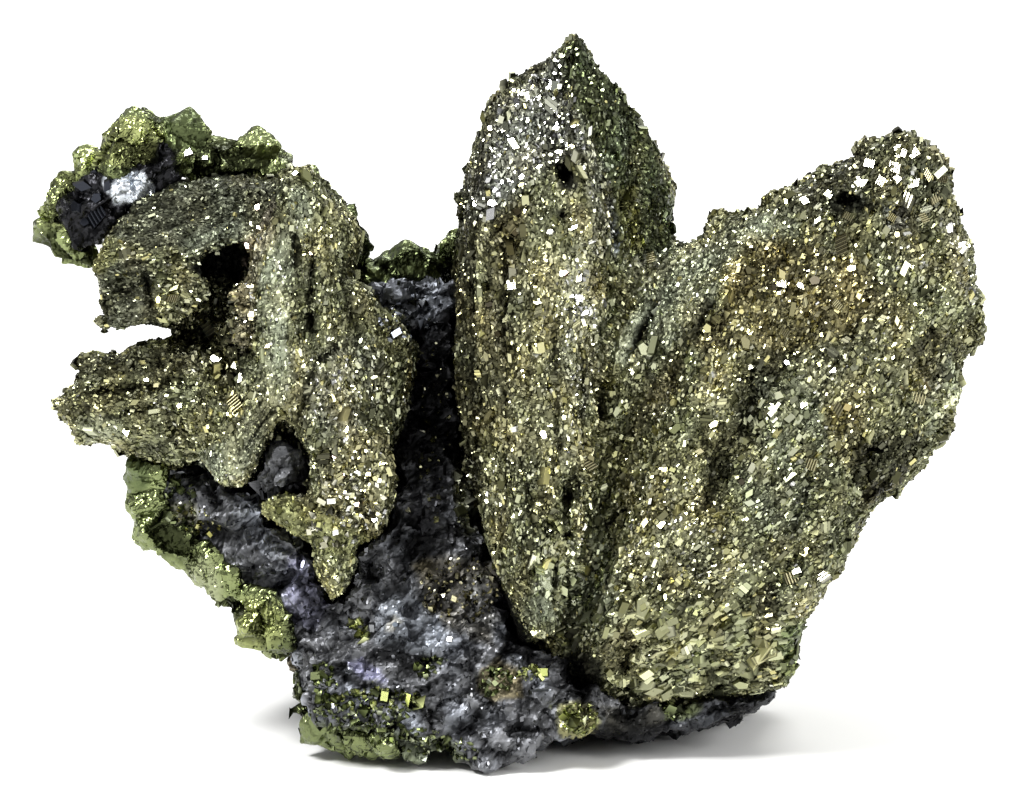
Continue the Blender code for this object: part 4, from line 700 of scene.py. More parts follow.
def pushed_out(piece, heights):
    """Moves each vertex along its normal by its height, in millimetres."""
    normals = rows_of(piece.data.vertex_normals, "vector")
    move_vertices(piece.data, coordinates_of(piece.data) + normals * heights[:, None] * MM)


def set_tint(mesh, tints, roughness):
    """Stores a colour and a roughness on every vertex."""
    colour = mesh.color_attributes.new("tint", "FLOAT_COLOR", "POINT")
    colour.data.foreach_set("color", np.column_stack((tints, np.ones(len(tints)))).ravel())
    finish = mesh.attributes.new("polish", "FLOAT", "POINT")
    finish.data.foreach_set("value", roughness)


def finish_piece(piece, material, slot, *replaced):
    """Gives a piece its material and its body, and hides the nodes that it stands for. Its slot is not used.
    """
    piece.data.materials.clear()
    piece.data.materials.append(bpy.data.materials[material])
    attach(piece, "root")
    if replaced:
        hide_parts(*replaced)


def blend_weights(places, blend):
    """How strongly a blend acts at rows of drawn places, from 1 at its middle to 0 outside."""
    turn = math.radians(blend.turn)
    right = places[:, 0] - blend.right
    up = places[:, 1] - blend.up
    across = (right * math.cos(turn) + up * math.sin(turn)) / blend.across
    along = (up * math.cos(turn) - right * math.sin(turn)) / blend.along
    return np.clip(1.6 * (1.0 - across ** 2 - along ** 2), 0.0, 1.0)


def zone_weights(places, zone, ragged):
    """How strongly a zone acts at rows of drawn places: 1 well inside its corners, 0 well outside."""
    corners = np.array(zone.corners)
    margin = zone.edge + 1.0
    spots = places[:, :2]
    near = np.all((spots > corners.min(axis=0) - margin) & (spots < corners.max(axis=0) + margin), axis=1)
    spots = spots[near]
    inside = np.zeros(len(spots), bool)
    nearest = np.full(len(spots), np.inf)
    for start, end in zip(corners, np.roll(corners, -1, axis=0)):
        run = end - start
        offset = spots - start
        share = np.clip(offset @ run / (run @ run), 0, 1)
        nearest = np.minimum(nearest, np.linalg.norm(offset - share[:, None] * run, axis=1))
        spans = (spots[:, 1] < start[1]) != (spots[:, 1] < end[1])
        rise = run[1] if abs(run[1]) > 1e-9 else 1e-9
        inside ^= spans & (spots[:, 0] < start[0] + run[0] * (spots[:, 1] - start[1]) / rise)
    depth = np.where(inside, nearest, -nearest)
    weights = np.zeros(len(places))
    weights[near] = np.clip(0.5 + (depth + 0.5 * ragged[near]) / zone.edge, 0, 1)
    return weights


def weights_of(places, part, ragged):
    """How strongly a blend or a zone acts at rows of drawn places, with a ragged border."""
    if isinstance(part, Zone):
        return zone_weights(places, part, ragged)
    return np.clip(blend_weights(places, part) * (1 + ragged), 0, 1)


def surface_at(places, parts, base, other):
    """Tint, grain size, crowding and share of glints at rows of drawn places, from blends and zones.

    The ground is the base tint, with patches of the other one.
    """
    count = len(places)
    patches = np.clip(1.6 * noise_at(places, (3.0, 5.0, 4.0), 7.0), 0, 1)[:, None]
    tint = np.array(TINTS[base]) + patches * (np.array(TINTS[other]) - np.array(TINTS[base]))
    size, crowding, glint = np.ones(count), np.ones(count), np.full(count, PLAIN_GLINT)
    fronts = places[:, 2] < BLEND_DEPTH
    ragged = 0.7 * noise_at(places, 1.6, 3.0)
    for part in parts:
        weight = weights_of(places, part, ragged) * part.strength * fronts
        tint += weight[:, None] * (np.array(TINTS[part.tint]) - tint)
        size += weight * (part.size - size)
        crowding += weight * (part.crowding - crowding)
        glint += weight * (part.glint - glint)
    return tint, size, crowding, glint


def crust_at(places):
    """The crust's surface, streaked along its growth, bare in its cracks and darkened there by painted shade.
    """
    parts = CRUST_BLENDS + CRUST_ZONES + PAINTED_SHADE_HOLLOWS
    tint, size, crowding, glint = surface_at(places, parts, "olive", "brass")
    streaks = noise_at(grain_places(places), (0.8, 7.0, 4.0), 21.0)
    clouds = noise_at(places, (2.2, 3.0, 3.0), 41.0)
    warmth = np.clip(1.5 * noise_at(places, (2.5, 4.0, 4.0), 61.0), -0.5, 1)[:, None]
    tint *= np.exp(warmth * (0.06, 0.0, -0.10))
    open_cracks = np.clip(groove_depths(places), 0, 1)
    # Painted shade darkens the crust in its cracks
    tint *= CRUST_LIGHTER * (np.exp(0.5 * streaks + 0.3 * clouds) * (1 - 0.85 * open_cracks))[:, None]
    return tint, size, crowding * (1 - 0.9 * open_cracks), glint * (1 - open_cracks)


def rock_at(places):
    """The rock's surface, cloudy with darker and paler parts, and with brown veins behind."""
    parts = ROCK_BLENDS + ROCK_ZONES + PAINTED_SHADE_HOLLOWS
    tint, size, crowding, glint = surface_at(places, parts, "sphalerite", "slate")
    clouds = noise_at(places, (3.0, 2.0, 3.0), 17.0) + 0.6 * noise_at(places, (1.0, 0.7, 1.0), 27.0)
    tint *= 0.92 * np.exp(1.3 * clouds)[:, None]
    veins = np.clip(3.0 * noise_at(places, (6.0, 5.0, 6.0), 51.0) - 0.9, 0, 0.6) * (places[:, 2] > VEIN_DEPTH)
    tint += veins[:, None] * (0.8 * np.array(TINTS["golden_brown"]) - tint)
    return tint, size, crowding + veins, glint


def chalcopyrite_at(places):
    return surface_at(places, CHALCOPYRITE_BLENDS + CHALCOPYRITE_ZONES, "chalcopyrite", "moss")


def groove_depths(places):
    """Depth of the cracks at rows of drawn places, in millimetres."""
    depths = np.zeros(len(places))
    wobble = 0.35 * noise_at(places, (2.0, 2.0, 3.0), 11.0)
    for groove in CRUST_GROOVES:
        start, end = np.array(groove.start), np.array(groove.end)
        run = end - start
        length = math.hypot(*run)
        offset = places[:, :2] - start
        along = (offset @ run) / length ** 2
        across = (offset[:, 0] * run[1] - offset[:, 1] * run[0]) / length + wobble
        ends = np.clip(5 * np.minimum(along, 1 - along), 0, 1)
        depths = np.maximum(depths, groove.deep * ends * np.exp(-(across / (0.8 * groove.width)) ** 2))
    return np.where(places[:, 2] < CRACK_DEPTH, depths, 0.0)


def grain_places(places):
    """Drawn places turned to run across the growth layers, along them and in depth."""
    right, up, depth = places.T
    # The layers of the shelf and the spur lie flat, and those of the upright left blade stand
    low = np.clip((up - 40.0) / 6.0, 0, 1) * np.clip((-26.5 - right) / 3.0, 0, 1)
    shelf = np.maximum(low, np.clip((-31.0 - right) / 3.0, 0, 1))
    left_across = (1 - shelf) * (right + 0.12 * (up - 40)) + shelf * (up - right * SHELF_SLOPE)
    left_along = (1 - shelf) * up + shelf * right
    # The centre blade's layers stand, and those of the fan, right of its leaning edge, spread from its foot
    edge = 4.3 + 5.0 * np.clip((up - 13.8) / 30.0, 0, 1) + 3.0 * np.clip((up - 43.8) / 8.0, 0, 1)
    fan = np.clip((right - edge) / 1.5, 0, 1)
    from_foot = right - FAN_FOOT[0], up - FAN_FOOT[1]
    reach = np.hypot(*from_foot) + 0.01
    turn = np.arctan2(*from_foot)
    across = (1 - fan) * (right - 0.03 * up) + fan * (turn * 38.0 + 60.0)
    along = (1 - fan) * up + fan * reach
    left = right < LEFT_END
    return np.column_stack((np.where(left, left_across, across), np.where(left, left_along, along), depth))


def terraces(values):
    """Turns a smooth height into flat steps with steep edges, one step for each whole number."""
    whole = np.floor(values)
    rest = values - whole
    return whole + np.clip((rest - 0.8) * 5.0, 0, 1)


def with_painted_shade(tint, height, smooth):
    """The tint of a skin with painted shade: darker where it lies low between the grains, and where it is
    less smooth.
    """
    low = np.clip(0.55 + 0.9 * height, 0.16, 1.0)[:, None]
    return tint * low * (0.7 + 0.3 * np.reshape(smooth, (-1, 1)))


def seam_swell(piece, node, reach=1.0):
    """1 where another solid touches the skin of a node, down to 0 at the reach in millimetres and beyond."""
    others = tree_of(*(other for name, other in FRAME["nodes"].items() if name != node))
    near = np.zeros(len(piece.data.vertices))
    for index, vert in enumerate(piece.data.vertices):
        hit = others.find_nearest(vert.co, reach * MM)
        if hit[0] is not None:
            near[index] = 1.0 - hit[3] / (reach * MM)
    return near


def nudged(piece):
    """Draws the skin out or in where the solid's outline is a little off the specimen's."""
    coords = coordinates_of(piece.data)
    places = drawn_from(coords)
    above_ground = np.clip(coords[:, 2] / (2 * MM), 0, 1)
    for right, up, reach, to_right, to_up in NUDGES:
        share = np.exp(-((places[:, 0] - right) ** 2 + (places[:, 1] - up) ** 2) / reach ** 2)
        coords[:, 0] += to_right * MM * share
        coords[:, 2] += to_up * MM * share * above_ground
    move_vertices(piece.data, coords)
    return piece


def sharpened(piece, right, up, reach, rise):
    """Draws the skin up to a point at a drawn place, all in millimetres."""
    coords = coordinates_of(piece.data)
    places = drawn_from(coords)
    away = np.hypot(places[:, 0] - right, places[:, 1] - up) / reach
    coords[:, 2] += rise * MM * np.clip(1 - away, 0, 1)
    move_vertices(piece.data, coords)


def crusted(piece, swell):
    """Gives the blades their growth plates, ridges, cracks and uneven crust."""
    places = drawn_from(coordinates_of(piece.data))
    grown = grain_places(places)
    plates = terraces(3.0 * noise_at(grown, (3.0, 15.0, 7.0), 5.0))
    ridges = 1.0 - 2.0 * np.abs(noise_at(grown, (1.3, 11.0, 5.0)))
    lumps = noise_at(places, 1.8, 9.0)
    grit = noise_at(places, 0.42, 2.0)
    tint, size, crowding, glint = crust_at(places)
    smooth = np.clip(1.3 * (1 - crowding), 0, 1)
    cracks = groove_depths(places)
    for right, up, reach, fill in NARROWED_PITS:
        away = ((places[:, 0] - right) ** 2 + (places[:, 1] - up) ** 2) / reach ** 2
        cracks -= fill * (1 + grit) * np.exp(-away) * (places[:, 2] < PIT_DEPTH)
    coarse = 0.16 * plates + 0.15 * (ridges - 0.4) + 0.12 * lumps
    pushed_out(piece, swell + coarse + 0.24 * grit * (1 - 0.6 * smooth) - cracks)
    # Painted shade: the skin is darker where it lies low and in its cracks
    low = 1.2 * coarse + 0.7 * grit - np.maximum(cracks, 0)
    # Painted shade: the skin is darker where many grains glint, standing in for dark reflections
    tint *= (1 - GLINT_PAINTED_SHADE * glint)[:, None]
    set_tint(piece.data, with_painted_shade(tint, low, smooth), 0.40 + 0.15 * smooth - 0.1 * lumps)
    return piece


def facets_at(places, size, offset):
    """Heights of flat facets, each tipped its own way, for cells of that size in millimetres."""
    heights = np.empty(len(places))
    for index, row in enumerate(places / size + offset):
        here = Vector(row)
        cell = noise.voronoi(here)[1][0]
        heights[index] = (here - cell).dot(noise.noise_vector(CELLS_APART * cell))
    return heights * size


def broken(piece, swell):
    """Gives the rock its broken lumps, cleavage steps and cracks."""
    places = drawn_from(coordinates_of(piece.data))
    slanted = places @ np.array(Matrix.Rotation(BEDDING_TURN, 3, "Z"))
    blocks = cells_at(slanted * (1.0, 1.6, 1.0), 4.4)
    folds = np.abs(noise_at(slanted, (1.6, 0.8, 1.3), 4.0))
    layers = terraces(2.5 * noise_at(slanted, (5.0, 1.8, 4.0), 3.0))
    grit = noise_at(places, 0.35, 6.0)
    tint = rock_at(places)[0]
    height = 0.6 * (blocks - 0.5) + 0.5 * (0.3 - folds) + 0.2 * layers + 0.75 * facets_at(slanted, 2.6, 5.0)
    above_ground = np.clip(coordinates_of(piece.data)[:, 2] / (1.2 * MM), 0, 1)
    pushed_out(piece, above_ground * (swell + height + 0.10 * grit))
    # Painted shade: the rock is darker in its low places
    low = 1.2 * height + 0.8 * grit + 0.25
    set_tint(piece.data, with_painted_shade(tint, low, 0.8), 0.48 - 0.1 * np.clip(height, -1, 1))
    return piece


def crumpled(piece, swell):
    """Gives the green crystals faces like crumpled foil."""
    places = drawn_from(coordinates_of(piece.data))
    folds = np.abs(noise_at(places, 1.3, 2.0))
    creases = np.abs(noise_at(places, 0.5, 8.0))
    tint, crumple = chalcopyrite_at(places)[:2]
    lumps = cells_at(places, 4.4, 3.0) - 0.6
    height = 0.08 * (0.25 - folds) + 0.3 * lumps + 0.5 * facets_at(places, 4.4, 3.0)
    fine = 0.14 * (0.25 - creases) + 0.4 * facets_at(places, 0.8, 9.0)
    pushed_out(piece, swell + height + crumple * fine)
    # Painted shade: the green faces are darker in their creases and low places
    low = 1.8 * height + 3.4 * crumple * fine + 0.22
    set_tint(piece.data, with_painted_shade(tint, low, 1.0), 0.32 - 0.10 * crumple + 0.1 * folds)
    return piece


def stepped(piece, swell):
    """Gives the galena its bright cleavage steps."""
    places = drawn_from(coordinates_of(piece.data))
    turned = places @ np.array(Matrix.Rotation(CLEAVAGE_TURN, 3, "Z"))
    rules = terraces(1.6 * turned[:, 0]) - 1.6 * turned[:, 0]
    chips = cells_at(places, 1.6)
    pushed_out(piece, swell + 0.05 * rules + 0.04 * (chips - 0.5) + 0.4 * facets_at(places, 2.4, 6.0))
    white = zone_weights(places, GALENA_FACE, 0.5 * chips)
    dark, bright = np.array(TINTS["black"]), np.array(TINTS["pale_stone"])
    mixed = dark * (1 + 2 * chips[:, None])
    mixed += white[:, None] * (bright * (0.9 + 0.4 * (rules + 1))[:, None] - mixed)
    set_tint(piece.data, np.clip(mixed, 0, 0.9), 0.20 + 0.15 * chips)
    return piece


def raised(shape, rise):
    """The form moved up, so that it stands out of the crust."""
    bmesh.ops.translate(shape, verts=shape.verts, vec=(0, 0, rise))
    return shape


def tile_form():
    """A cube that stands out of the crust by half, 1 across."""
    shape = bmesh.new()
    bmesh.ops.create_cube(shape, size=1.0)
    bmesh.ops.scale(shape, verts=[vert for vert in shape.verts if vert.co.z > 0], vec=(0.85, 0.85, 1))
    bmesh.ops.scale(shape, verts=shape.verts, vec=(1.1, 0.9, 0.6))
    return raised(shape, 0.12)


def pentagon_form():
    """The five-sided face of a pyritohedron, about 1 across."""
    shape = bmesh.new()
    bmesh.ops.create_cone(shape, cap_ends=True, segments=5, radius1=0.66, radius2=0.5, depth=0.5)
    return raised(shape, 0.12)


def stair_form():
    """Three cubes grown side by side as steps, 1 across."""
    shape = bmesh.new()
    for offset, length, top in ((-0.34, 0.9, 0.28), (0.0, 1.2, 0.42), (0.33, 1.0, 0.34)):
        made = bmesh.ops.create_cube(shape, size=1.0)
        bmesh.ops.scale(shape, verts=made["verts"], vec=(0.3, length, top + 0.2))
        bmesh.ops.translate(shape, verts=made["verts"], vec=(offset, 0, 0.5 * top - 0.1))
    return shape


def octahedron_form():
    """An octahedron about 1 across."""
    shape = bmesh.new()
    bmesh.ops.create_uvsphere(shape, u_segments=4, v_segments=2, radius=0.62)
    return raised(shape, 0.1)


def corner_form():
    """The corner of a cube, with its hidden side closed."""
    shape = bmesh.new()
    bmesh.ops.create_cone(shape, cap_ends=True, segments=3, radius1=0.82, radius2=0.0, depth=0.58)
    return raised(shape, 0.2)


def striated_form():
    """A cube whose face is ruled by growth steps across it."""
    shape = bmesh.new()
    bmesh.ops.create_cube(shape, size=1.0)
    rims = [edge for edge in shape.edges if abs(edge.verts[0].co.y - edge.verts[1].co.y) > 0.5]
    levels = 4 * GROWTH_STEPS
    bmesh.ops.subdivide_edges(shape, edges=rims, cuts=levels - 1, use_grid_fill=True)
    for vert in shape.verts:
        if round((vert.co.y + 0.5) * levels) % 4 in (2, 3):
            vert.co.x *= 0.9
            vert.co.z -= 0.22 * (vert.co.z > 0)
    bmesh.ops.recalc_face_normals(shape, faces=shape.faces)
    return shape


def arrays_of(shape):
    """The triangles of a small form, as vertex and corner arrays, and the form freed."""
    bmesh.ops.triangulate(shape, faces=shape.faces)
    shape.verts.index_update()
    verts = np.array([vert.co for vert in shape.verts])
    faces = np.array([[vert.index for vert in face.verts] for face in shape.faces])
    shape.free()
    return verts, faces


def random_turns(dice, count):
    """That many evenly random rotation matrices."""
    quats = dice.normal(size=(count, 4))
    quats /= np.linalg.norm(quats, axis=1)[:, None]
    w, x, y, z = quats.T
    return np.stack([
        1 - 2 * (y * y + z * z), 2 * (x * y - z * w), 2 * (x * z + y * w),
        2 * (x * y + z * w), 1 - 2 * (x * x + z * z), 2 * (y * z - x * w),
        2 * (x * z - y * w), 2 * (y * z + x * w), 1 - 2 * (x * x + y * y)], axis=1).reshape(-1, 3, 3)


def turns_onto(normals, dice, spread, along=None):
    """Rotation matrices whose Z axis follows each normal, tipped by about the spread in radians.

    Their X axis is a random one, or else near the direction given as along.
    """
    wanted = normals + spread * dice.normal(size=normals.shape)
    wanted /= np.linalg.norm(wanted, axis=1)[:, None]
    helper = random_turns(dice, len(normals))[:, :, 0]
    if along is not None:
        helper = np.cross(wanted, along + 0.35 * helper)
    side = np.cross(helper, wanted)
    side /= np.maximum(np.linalg.norm(side, axis=1), 1e-9)[:, None]
    return np.stack([side, np.cross(wanted, side), wanted], axis=2)


class Scatter:
    """Crystals to be joined in one mesh: their form, places, turns, sizes, tints and roughness."""

    def __init__(self):
        self.verts, self.faces, self.tints, self.polish = [], [], [], []
        self.total = 0

    def add(self, form, centres, turns, sizes, tints, roughness):
        """Adds one crystal at each centre. Their feet, deep in the crust, carry painted shade and are darker
        than their tops.
        """
        verts, faces = form
        count = len(centres)
        if not count:
            return
        offsets = np.einsum("nij,nkj->nki", turns, verts[None] * sizes[:, None, :])
        placed = offsets + centres[:, None]
        starts = self.total + np.arange(count) * len(verts)
        height = (verts[:, 2] - verts[:, 2].min()) / np.ptp(verts[:, 2])
        painted_shade = np.clip(2.5 * height - 1.5, 0.12, 1.0)[None, :, None]
        self.faces.append((faces[None] + starts[:, None, None]).reshape(-1, 3))
        self.verts.append(placed.reshape(-1, 3))
        self.tints.append((tints[:, None, :] * painted_shade).reshape(-1, 3))
        self.polish.append(np.repeat(roughness, len(verts)))
        self.total += count * len(verts)

    def piece(self, name):
        """The joined mesh as a new piece."""
        verts = np.concatenate(self.verts)
        faces = np.concatenate(self.faces)
        mesh = bpy.data.meshes.new(name)
        mesh.vertices.add(len(verts))
        mesh.vertices.foreach_set("co", verts.ravel())
        mesh.loops.add(faces.size)
        mesh.loops.foreach_set("vertex_index", faces.ravel().astype(np.int32))
        mesh.polygons.add(len(faces))
        mesh.polygons.foreach_set("loop_start", np.arange(0, faces.size, 3, dtype=np.int32))
        mesh.update(calc_edges=True)
        mesh.validate()
        mesh.shade_flat()
        set_tint(mesh, np.concatenate(self.tints), np.concatenate(self.polish))
        return new_piece(name, mesh)


def triangles_of(piece):
    """Corners, normals, middles and areas in square millimetres of a piece's triangles."""
    mesh = piece.data
    mesh.calc_loop_triangles()
    corners = np.empty(len(mesh.loop_triangles) * 3, np.int32)
    mesh.loop_triangles.foreach_get("vertices", corners)
    points = coordinates_of(mesh)[corners.reshape(-1, 3)]
    cross = np.cross(points[:, 1] - points[:, 0], points[:, 2] - points[:, 0])
    double_area = np.linalg.norm(cross, axis=1)
    normals = cross / np.maximum(double_area, 1e-12)[:, None]
    return points, normals, points.mean(axis=1), 0.5 * double_area / MM ** 2


def spots_on(points, normals, expected, dice):
    """Random places on triangles with their normals, in all as many as the expected numbers add up to."""
    count = int(expected.sum())
    chosen = dice.choice(len(points), size=count, p=expected / expected.sum())
    first, second = dice.random(count), dice.random(count)
    fold = first + second > 1
    first[fold], second[fold] = 1 - first[fold], 1 - second[fold]
    corner, right, left = points[chosen].transpose(1, 0, 2)
    spots = corner + first[:, None] * (right - corner) + second[:, None] * (left - corner)
    return spots, normals[chosen]


def node_with(tree, kind, links=(), **settings):
    """Adds a node, sets its properties and sockets, and links its inputs from (socket, source) pairs."""
    node = tree.nodes.new(kind)
    for name, value in settings.items():
        if name in node.inputs:
            node.inputs[name].default_value = value
        else:
            setattr(node, name, value)
    for socket, source in links:
        tree.links.new(source, node.inputs[socket])
    return node


def empty_material(name):
    material = bpy.data.materials.new(name)
    material.use_nodes = True
    tree = material.node_tree
    tree.nodes.clear()
    return material, tree


def tinted_metal(name, cell_mm, facet_strength, grit_mm, metallic=1.0):
    """A metallic mineral surface of fine crystal facets, tinted by the mesh.

    The cells tip the surface a little, facet by facet, so it glitters instead of shining evenly.
    """
    tree = empty_material(name)[1]
    tint = node_with(tree, "ShaderNodeAttribute", attribute_name="tint")
    polish = node_with(tree, "ShaderNodeAttribute", attribute_name="polish")
    place = node_with(tree, "ShaderNodeTexCoord").outputs["Object"]
    cells = node_with(tree, "ShaderNodeTexVoronoi", [("Vector", place)], Scale=1 / (cell_mm * MM))
    slope = node_with(tree, "ShaderNodeVectorMath", [(0, cells.outputs["Color"])], operation="SUBTRACT")
    slope.inputs[1].default_value = (0.5, 0.5, 0.5)
    tip = node_with(
        tree, "ShaderNodeVectorMath", [(0, slope.outputs[0])], operation="SCALE", Scale=facet_strength)
    normal = node_with(tree, "ShaderNodeNewGeometry").outputs["Normal"]
    tipped = node_with(tree, "ShaderNodeVectorMath", [(0, normal), (1, tip.outputs[0])], operation="ADD")
    facing = node_with(tree, "ShaderNodeVectorMath", [(0, tipped.outputs[0])], operation="NORMALIZE")
    grit = node_with(tree, "ShaderNodeTexNoise", [("Vector", place)], Scale=1 / (grit_mm * MM), Detail=3.0)
    bump = node_with(
        tree, "ShaderNodeBump", [("Height", grit.outputs["Fac"]), ("Normal", facing.outputs[0])],
        Strength=0.25, Distance=0.05 * MM)
    spread = node_with(tree, "ShaderNodeMapRange", [("Value", grit.outputs["Fac"])])
    spread.inputs["To Min"].default_value = 0.75
    spread.inputs["To Max"].default_value = 1.2
    colour = node_with(
        tree, "ShaderNodeVectorMath", [(0, tint.outputs["Color"]), ("Scale", spread.outputs[0])],
        operation="SCALE")
    looks = [
        ("Base Color", colour.outputs[0]), ("Roughness", polish.outputs["Fac"]), ("Normal", bump.outputs[0])]
    shader = node_with(tree, "ShaderNodeBsdfPrincipled", looks, Metallic=metallic)
    node_with(tree, "ShaderNodeOutputMaterial", [("Surface", shader.outputs[0])])


def grain_metal(name):
    """Clean, flat crystal faces of a metallic mineral, tinted crystal by crystal by the mesh."""
    tree = empty_material(name)[1]
    tint = node_with(tree, "ShaderNodeAttribute", attribute_name="tint")
    polish = node_with(tree, "ShaderNodeAttribute", attribute_name="polish")
    looks = [("Base Color", tint.outputs["Color"]), ("Roughness", polish.outputs["Fac"])]
    shader = node_with(tree, "ShaderNodeBsdfPrincipled", looks, Metallic=1.0)
    node_with(tree, "ShaderNodeOutputMaterial", [("Surface", shader.outputs[0])])


class SpecimenSizes(bpy.types.PropertyGroup):
    blade_voxel: FloatProperty(name="Blade mesh", description="Face size of the blades, mm", default=0.39)
    rock_voxel: FloatProperty(name="Rock mesh", description="Face size of the rock, mm", default=0.35)
    cluster_voxel: FloatProperty(name="Cluster mesh", description="Face size of clusters, mm", default=0.18)
    swell: FloatProperty(name="Crust", description="How far the blades' skin stands out, mm", default=-0.25)
    seam: FloatProperty(name="Seam", description="How far the skins close on each other, mm", default=0.7)
    fine_grain: FloatProperty(name="Fine grain", description="Width of a fine pyrite grain, mm", default=0.27)
    fine_count: FloatProperty(name="Fine grains", description="Number on each square mm", default=8.5)
    middle_grain: FloatProperty(name="Middle grain", description="Width of a middling grain, mm", default=0.4)
    middle_count: FloatProperty(name="Middle grains", description="Number on each square mm", default=1.2)
    coarse_grain: FloatProperty(name="Coarse grain", description="Width of a coarse grain, mm", default=0.68)
    coarse_count: FloatProperty(name="Coarse grains", description="Number on each square mm", default=0.14)
    flat_grain: FloatProperty(name="Flat grain", description="Width of a flat grain, mm", default=0.9)
    flat_count: FloatProperty(name="Flat grains", description="Number on a square mm of flakes", default=2.3)
    back_share: FloatProperty(name="Back share", description="Grains behind for each in front", default=0.2)
    seed: IntProperty(name="Seed", description="Start of the random draws", default=11)


class SpecimenStudio(bpy.types.PropertyGroup):
    floor_colour: FloatVectorProperty(
        name="Floor", description="Colour of the floor", subtype="COLOR", default=linear("EDEDEB"))
    key_power: FloatProperty(
        name="Key light", description="Power of the key light", unit="POWER", default=11.0)
    fill_power: FloatProperty(
        name="Fill light", description="Power of the fill and rim lights", unit="POWER", default=5.0)
    room_light: FloatProperty(name="Room light", description="Light from overhead", default=0.85)
    room_low: FloatProperty(name="Low room light", description="Light from the side", default=0.20)


def front_share(normals, sizes):
    """Fewer grains where a face looks backwards."""
    facing = -normals[:, 1] + 0.25 * normals[:, 2]
    front = np.clip(2.0 * facing + 1.0, 0, 1)
    return front + (1 - front) * sizes.back_share


def varied(tint, dice, spread):
    """Tints from dark and rich to light and pale around the given ones."""
    draw = (spread * dice.normal(size=len(tint)))[:, None]
    hue = tint / tint.max(axis=1)[:, None]
    return np.clip(tint * np.exp(draw) * hue ** (-0.6 * draw), *TINT_LIMITS)


def growth_directions(places):
    """The directions on the specimen in which the crystals grew, at rows of drawn places."""
    step = 0.1
    along = grain_places(places)[:, 1]
    to_right = grain_places(places + (step, 0, 0))[:, 1] - along
    to_top = grain_places(places + (0, step, 0))[:, 1] - along
    return np.column_stack((to_right, np.zeros(len(places)), to_top)) / step


def glint_directions(spots):
    """The way a face at each spot must look to throw the key light into the viewer's eye."""
    to_key, to_eye = np.array(KEY_PLACE) - spots, np.array(EYE) - spots
    to_key /= np.linalg.norm(to_key, axis=1)[:, None]
    to_eye /= np.linalg.norm(to_eye, axis=1)[:, None]
    half = to_key + to_eye
    return half / np.linalg.norm(half, axis=1)[:, None]


def flakes_at(places):
    """The flake of crust at each drawn place: its tilt, its tone from -1 to 1, and 0 to 1 from its border."""
    tilts, borders = np.empty((len(places), 3)), np.empty(len(places))
    for index, row in enumerate(grain_places(places) / FLAKE + 31.0):
        distances, cells = noise.voronoi(Vector(row))[:2]
        tilts[index] = noise.noise_vector(CELLS_APART * cells[0])
        borders[index] = min(1.0, 5.0 * (distances[1] - distances[0]))
    return tilts, 1.5 * tilts[:, 0], borders


def side_on(normals, reach):
    """1 for a face that is seen from its side, down to 0 for one that is turned by the reach or more."""
    return np.clip(1.0 - np.abs(normals @ np.array(SIGHT)) / reach, 0, 1)


def wanted_on(batch, areas, share, size, turned):
    """How many grains of a batch belong on each triangle. Coarse ones and flakes keep to coarse crust."""
    if batch.flat:
        return areas * batch.per_mm2 * np.clip(2.5 * (size - FLAT_FROM), 0, 1) * (1 - 0.95 * turned)
    where_coarse = np.clip(1.6 * size - 0.8, 0.05, 2.0) * (1 - 0.95 * turned)
    return share * batch.per_mm2 * (1 + batch.coarse * (where_coarse - 1))


def grain_dims(batch, size, normals, dice):
    """Length, width and height of each grain. They are wider behind and narrower on the outline."""
    behind = np.clip(normals[:, 1] * 2, 0, 1)
    across = batch.width * size ** (0.6 + 0.4 * batch.coarse) * np.exp(0.3 * dice.normal(size=len(size)))
    across = across * (1 + 0.8 * behind) * (1 - 0.72 * side_on(normals, 0.4))
    across = np.clip(across, FINEST, WIDEST_FLAT if batch.flat else WIDEST)
    dims = across[:, None] * np.exp(0.2 * dice.normal(size=(len(size), 3))) * MM
    return dims * (FLAT_SHAPE if batch.flat else GRAIN_SHAPE)


def grain_tints(tint, glint, tones, borders, gold_share, dice):
    """A tint for each grain, lighter or darker flake by flake, with painted shade at the flakes' borders, and
    a few golden.
    """
    tints = varied(tint, dice, 0.14 + 0.7 * np.sqrt(glint))
    tints *= (np.exp(0.35 * tones) * (0.35 + 0.65 * borders))[:, None]
    golden = dice.random(len(tint)) < gold_share
    return np.where(golden[:, None], np.array(TINTS["gold"]), tints)


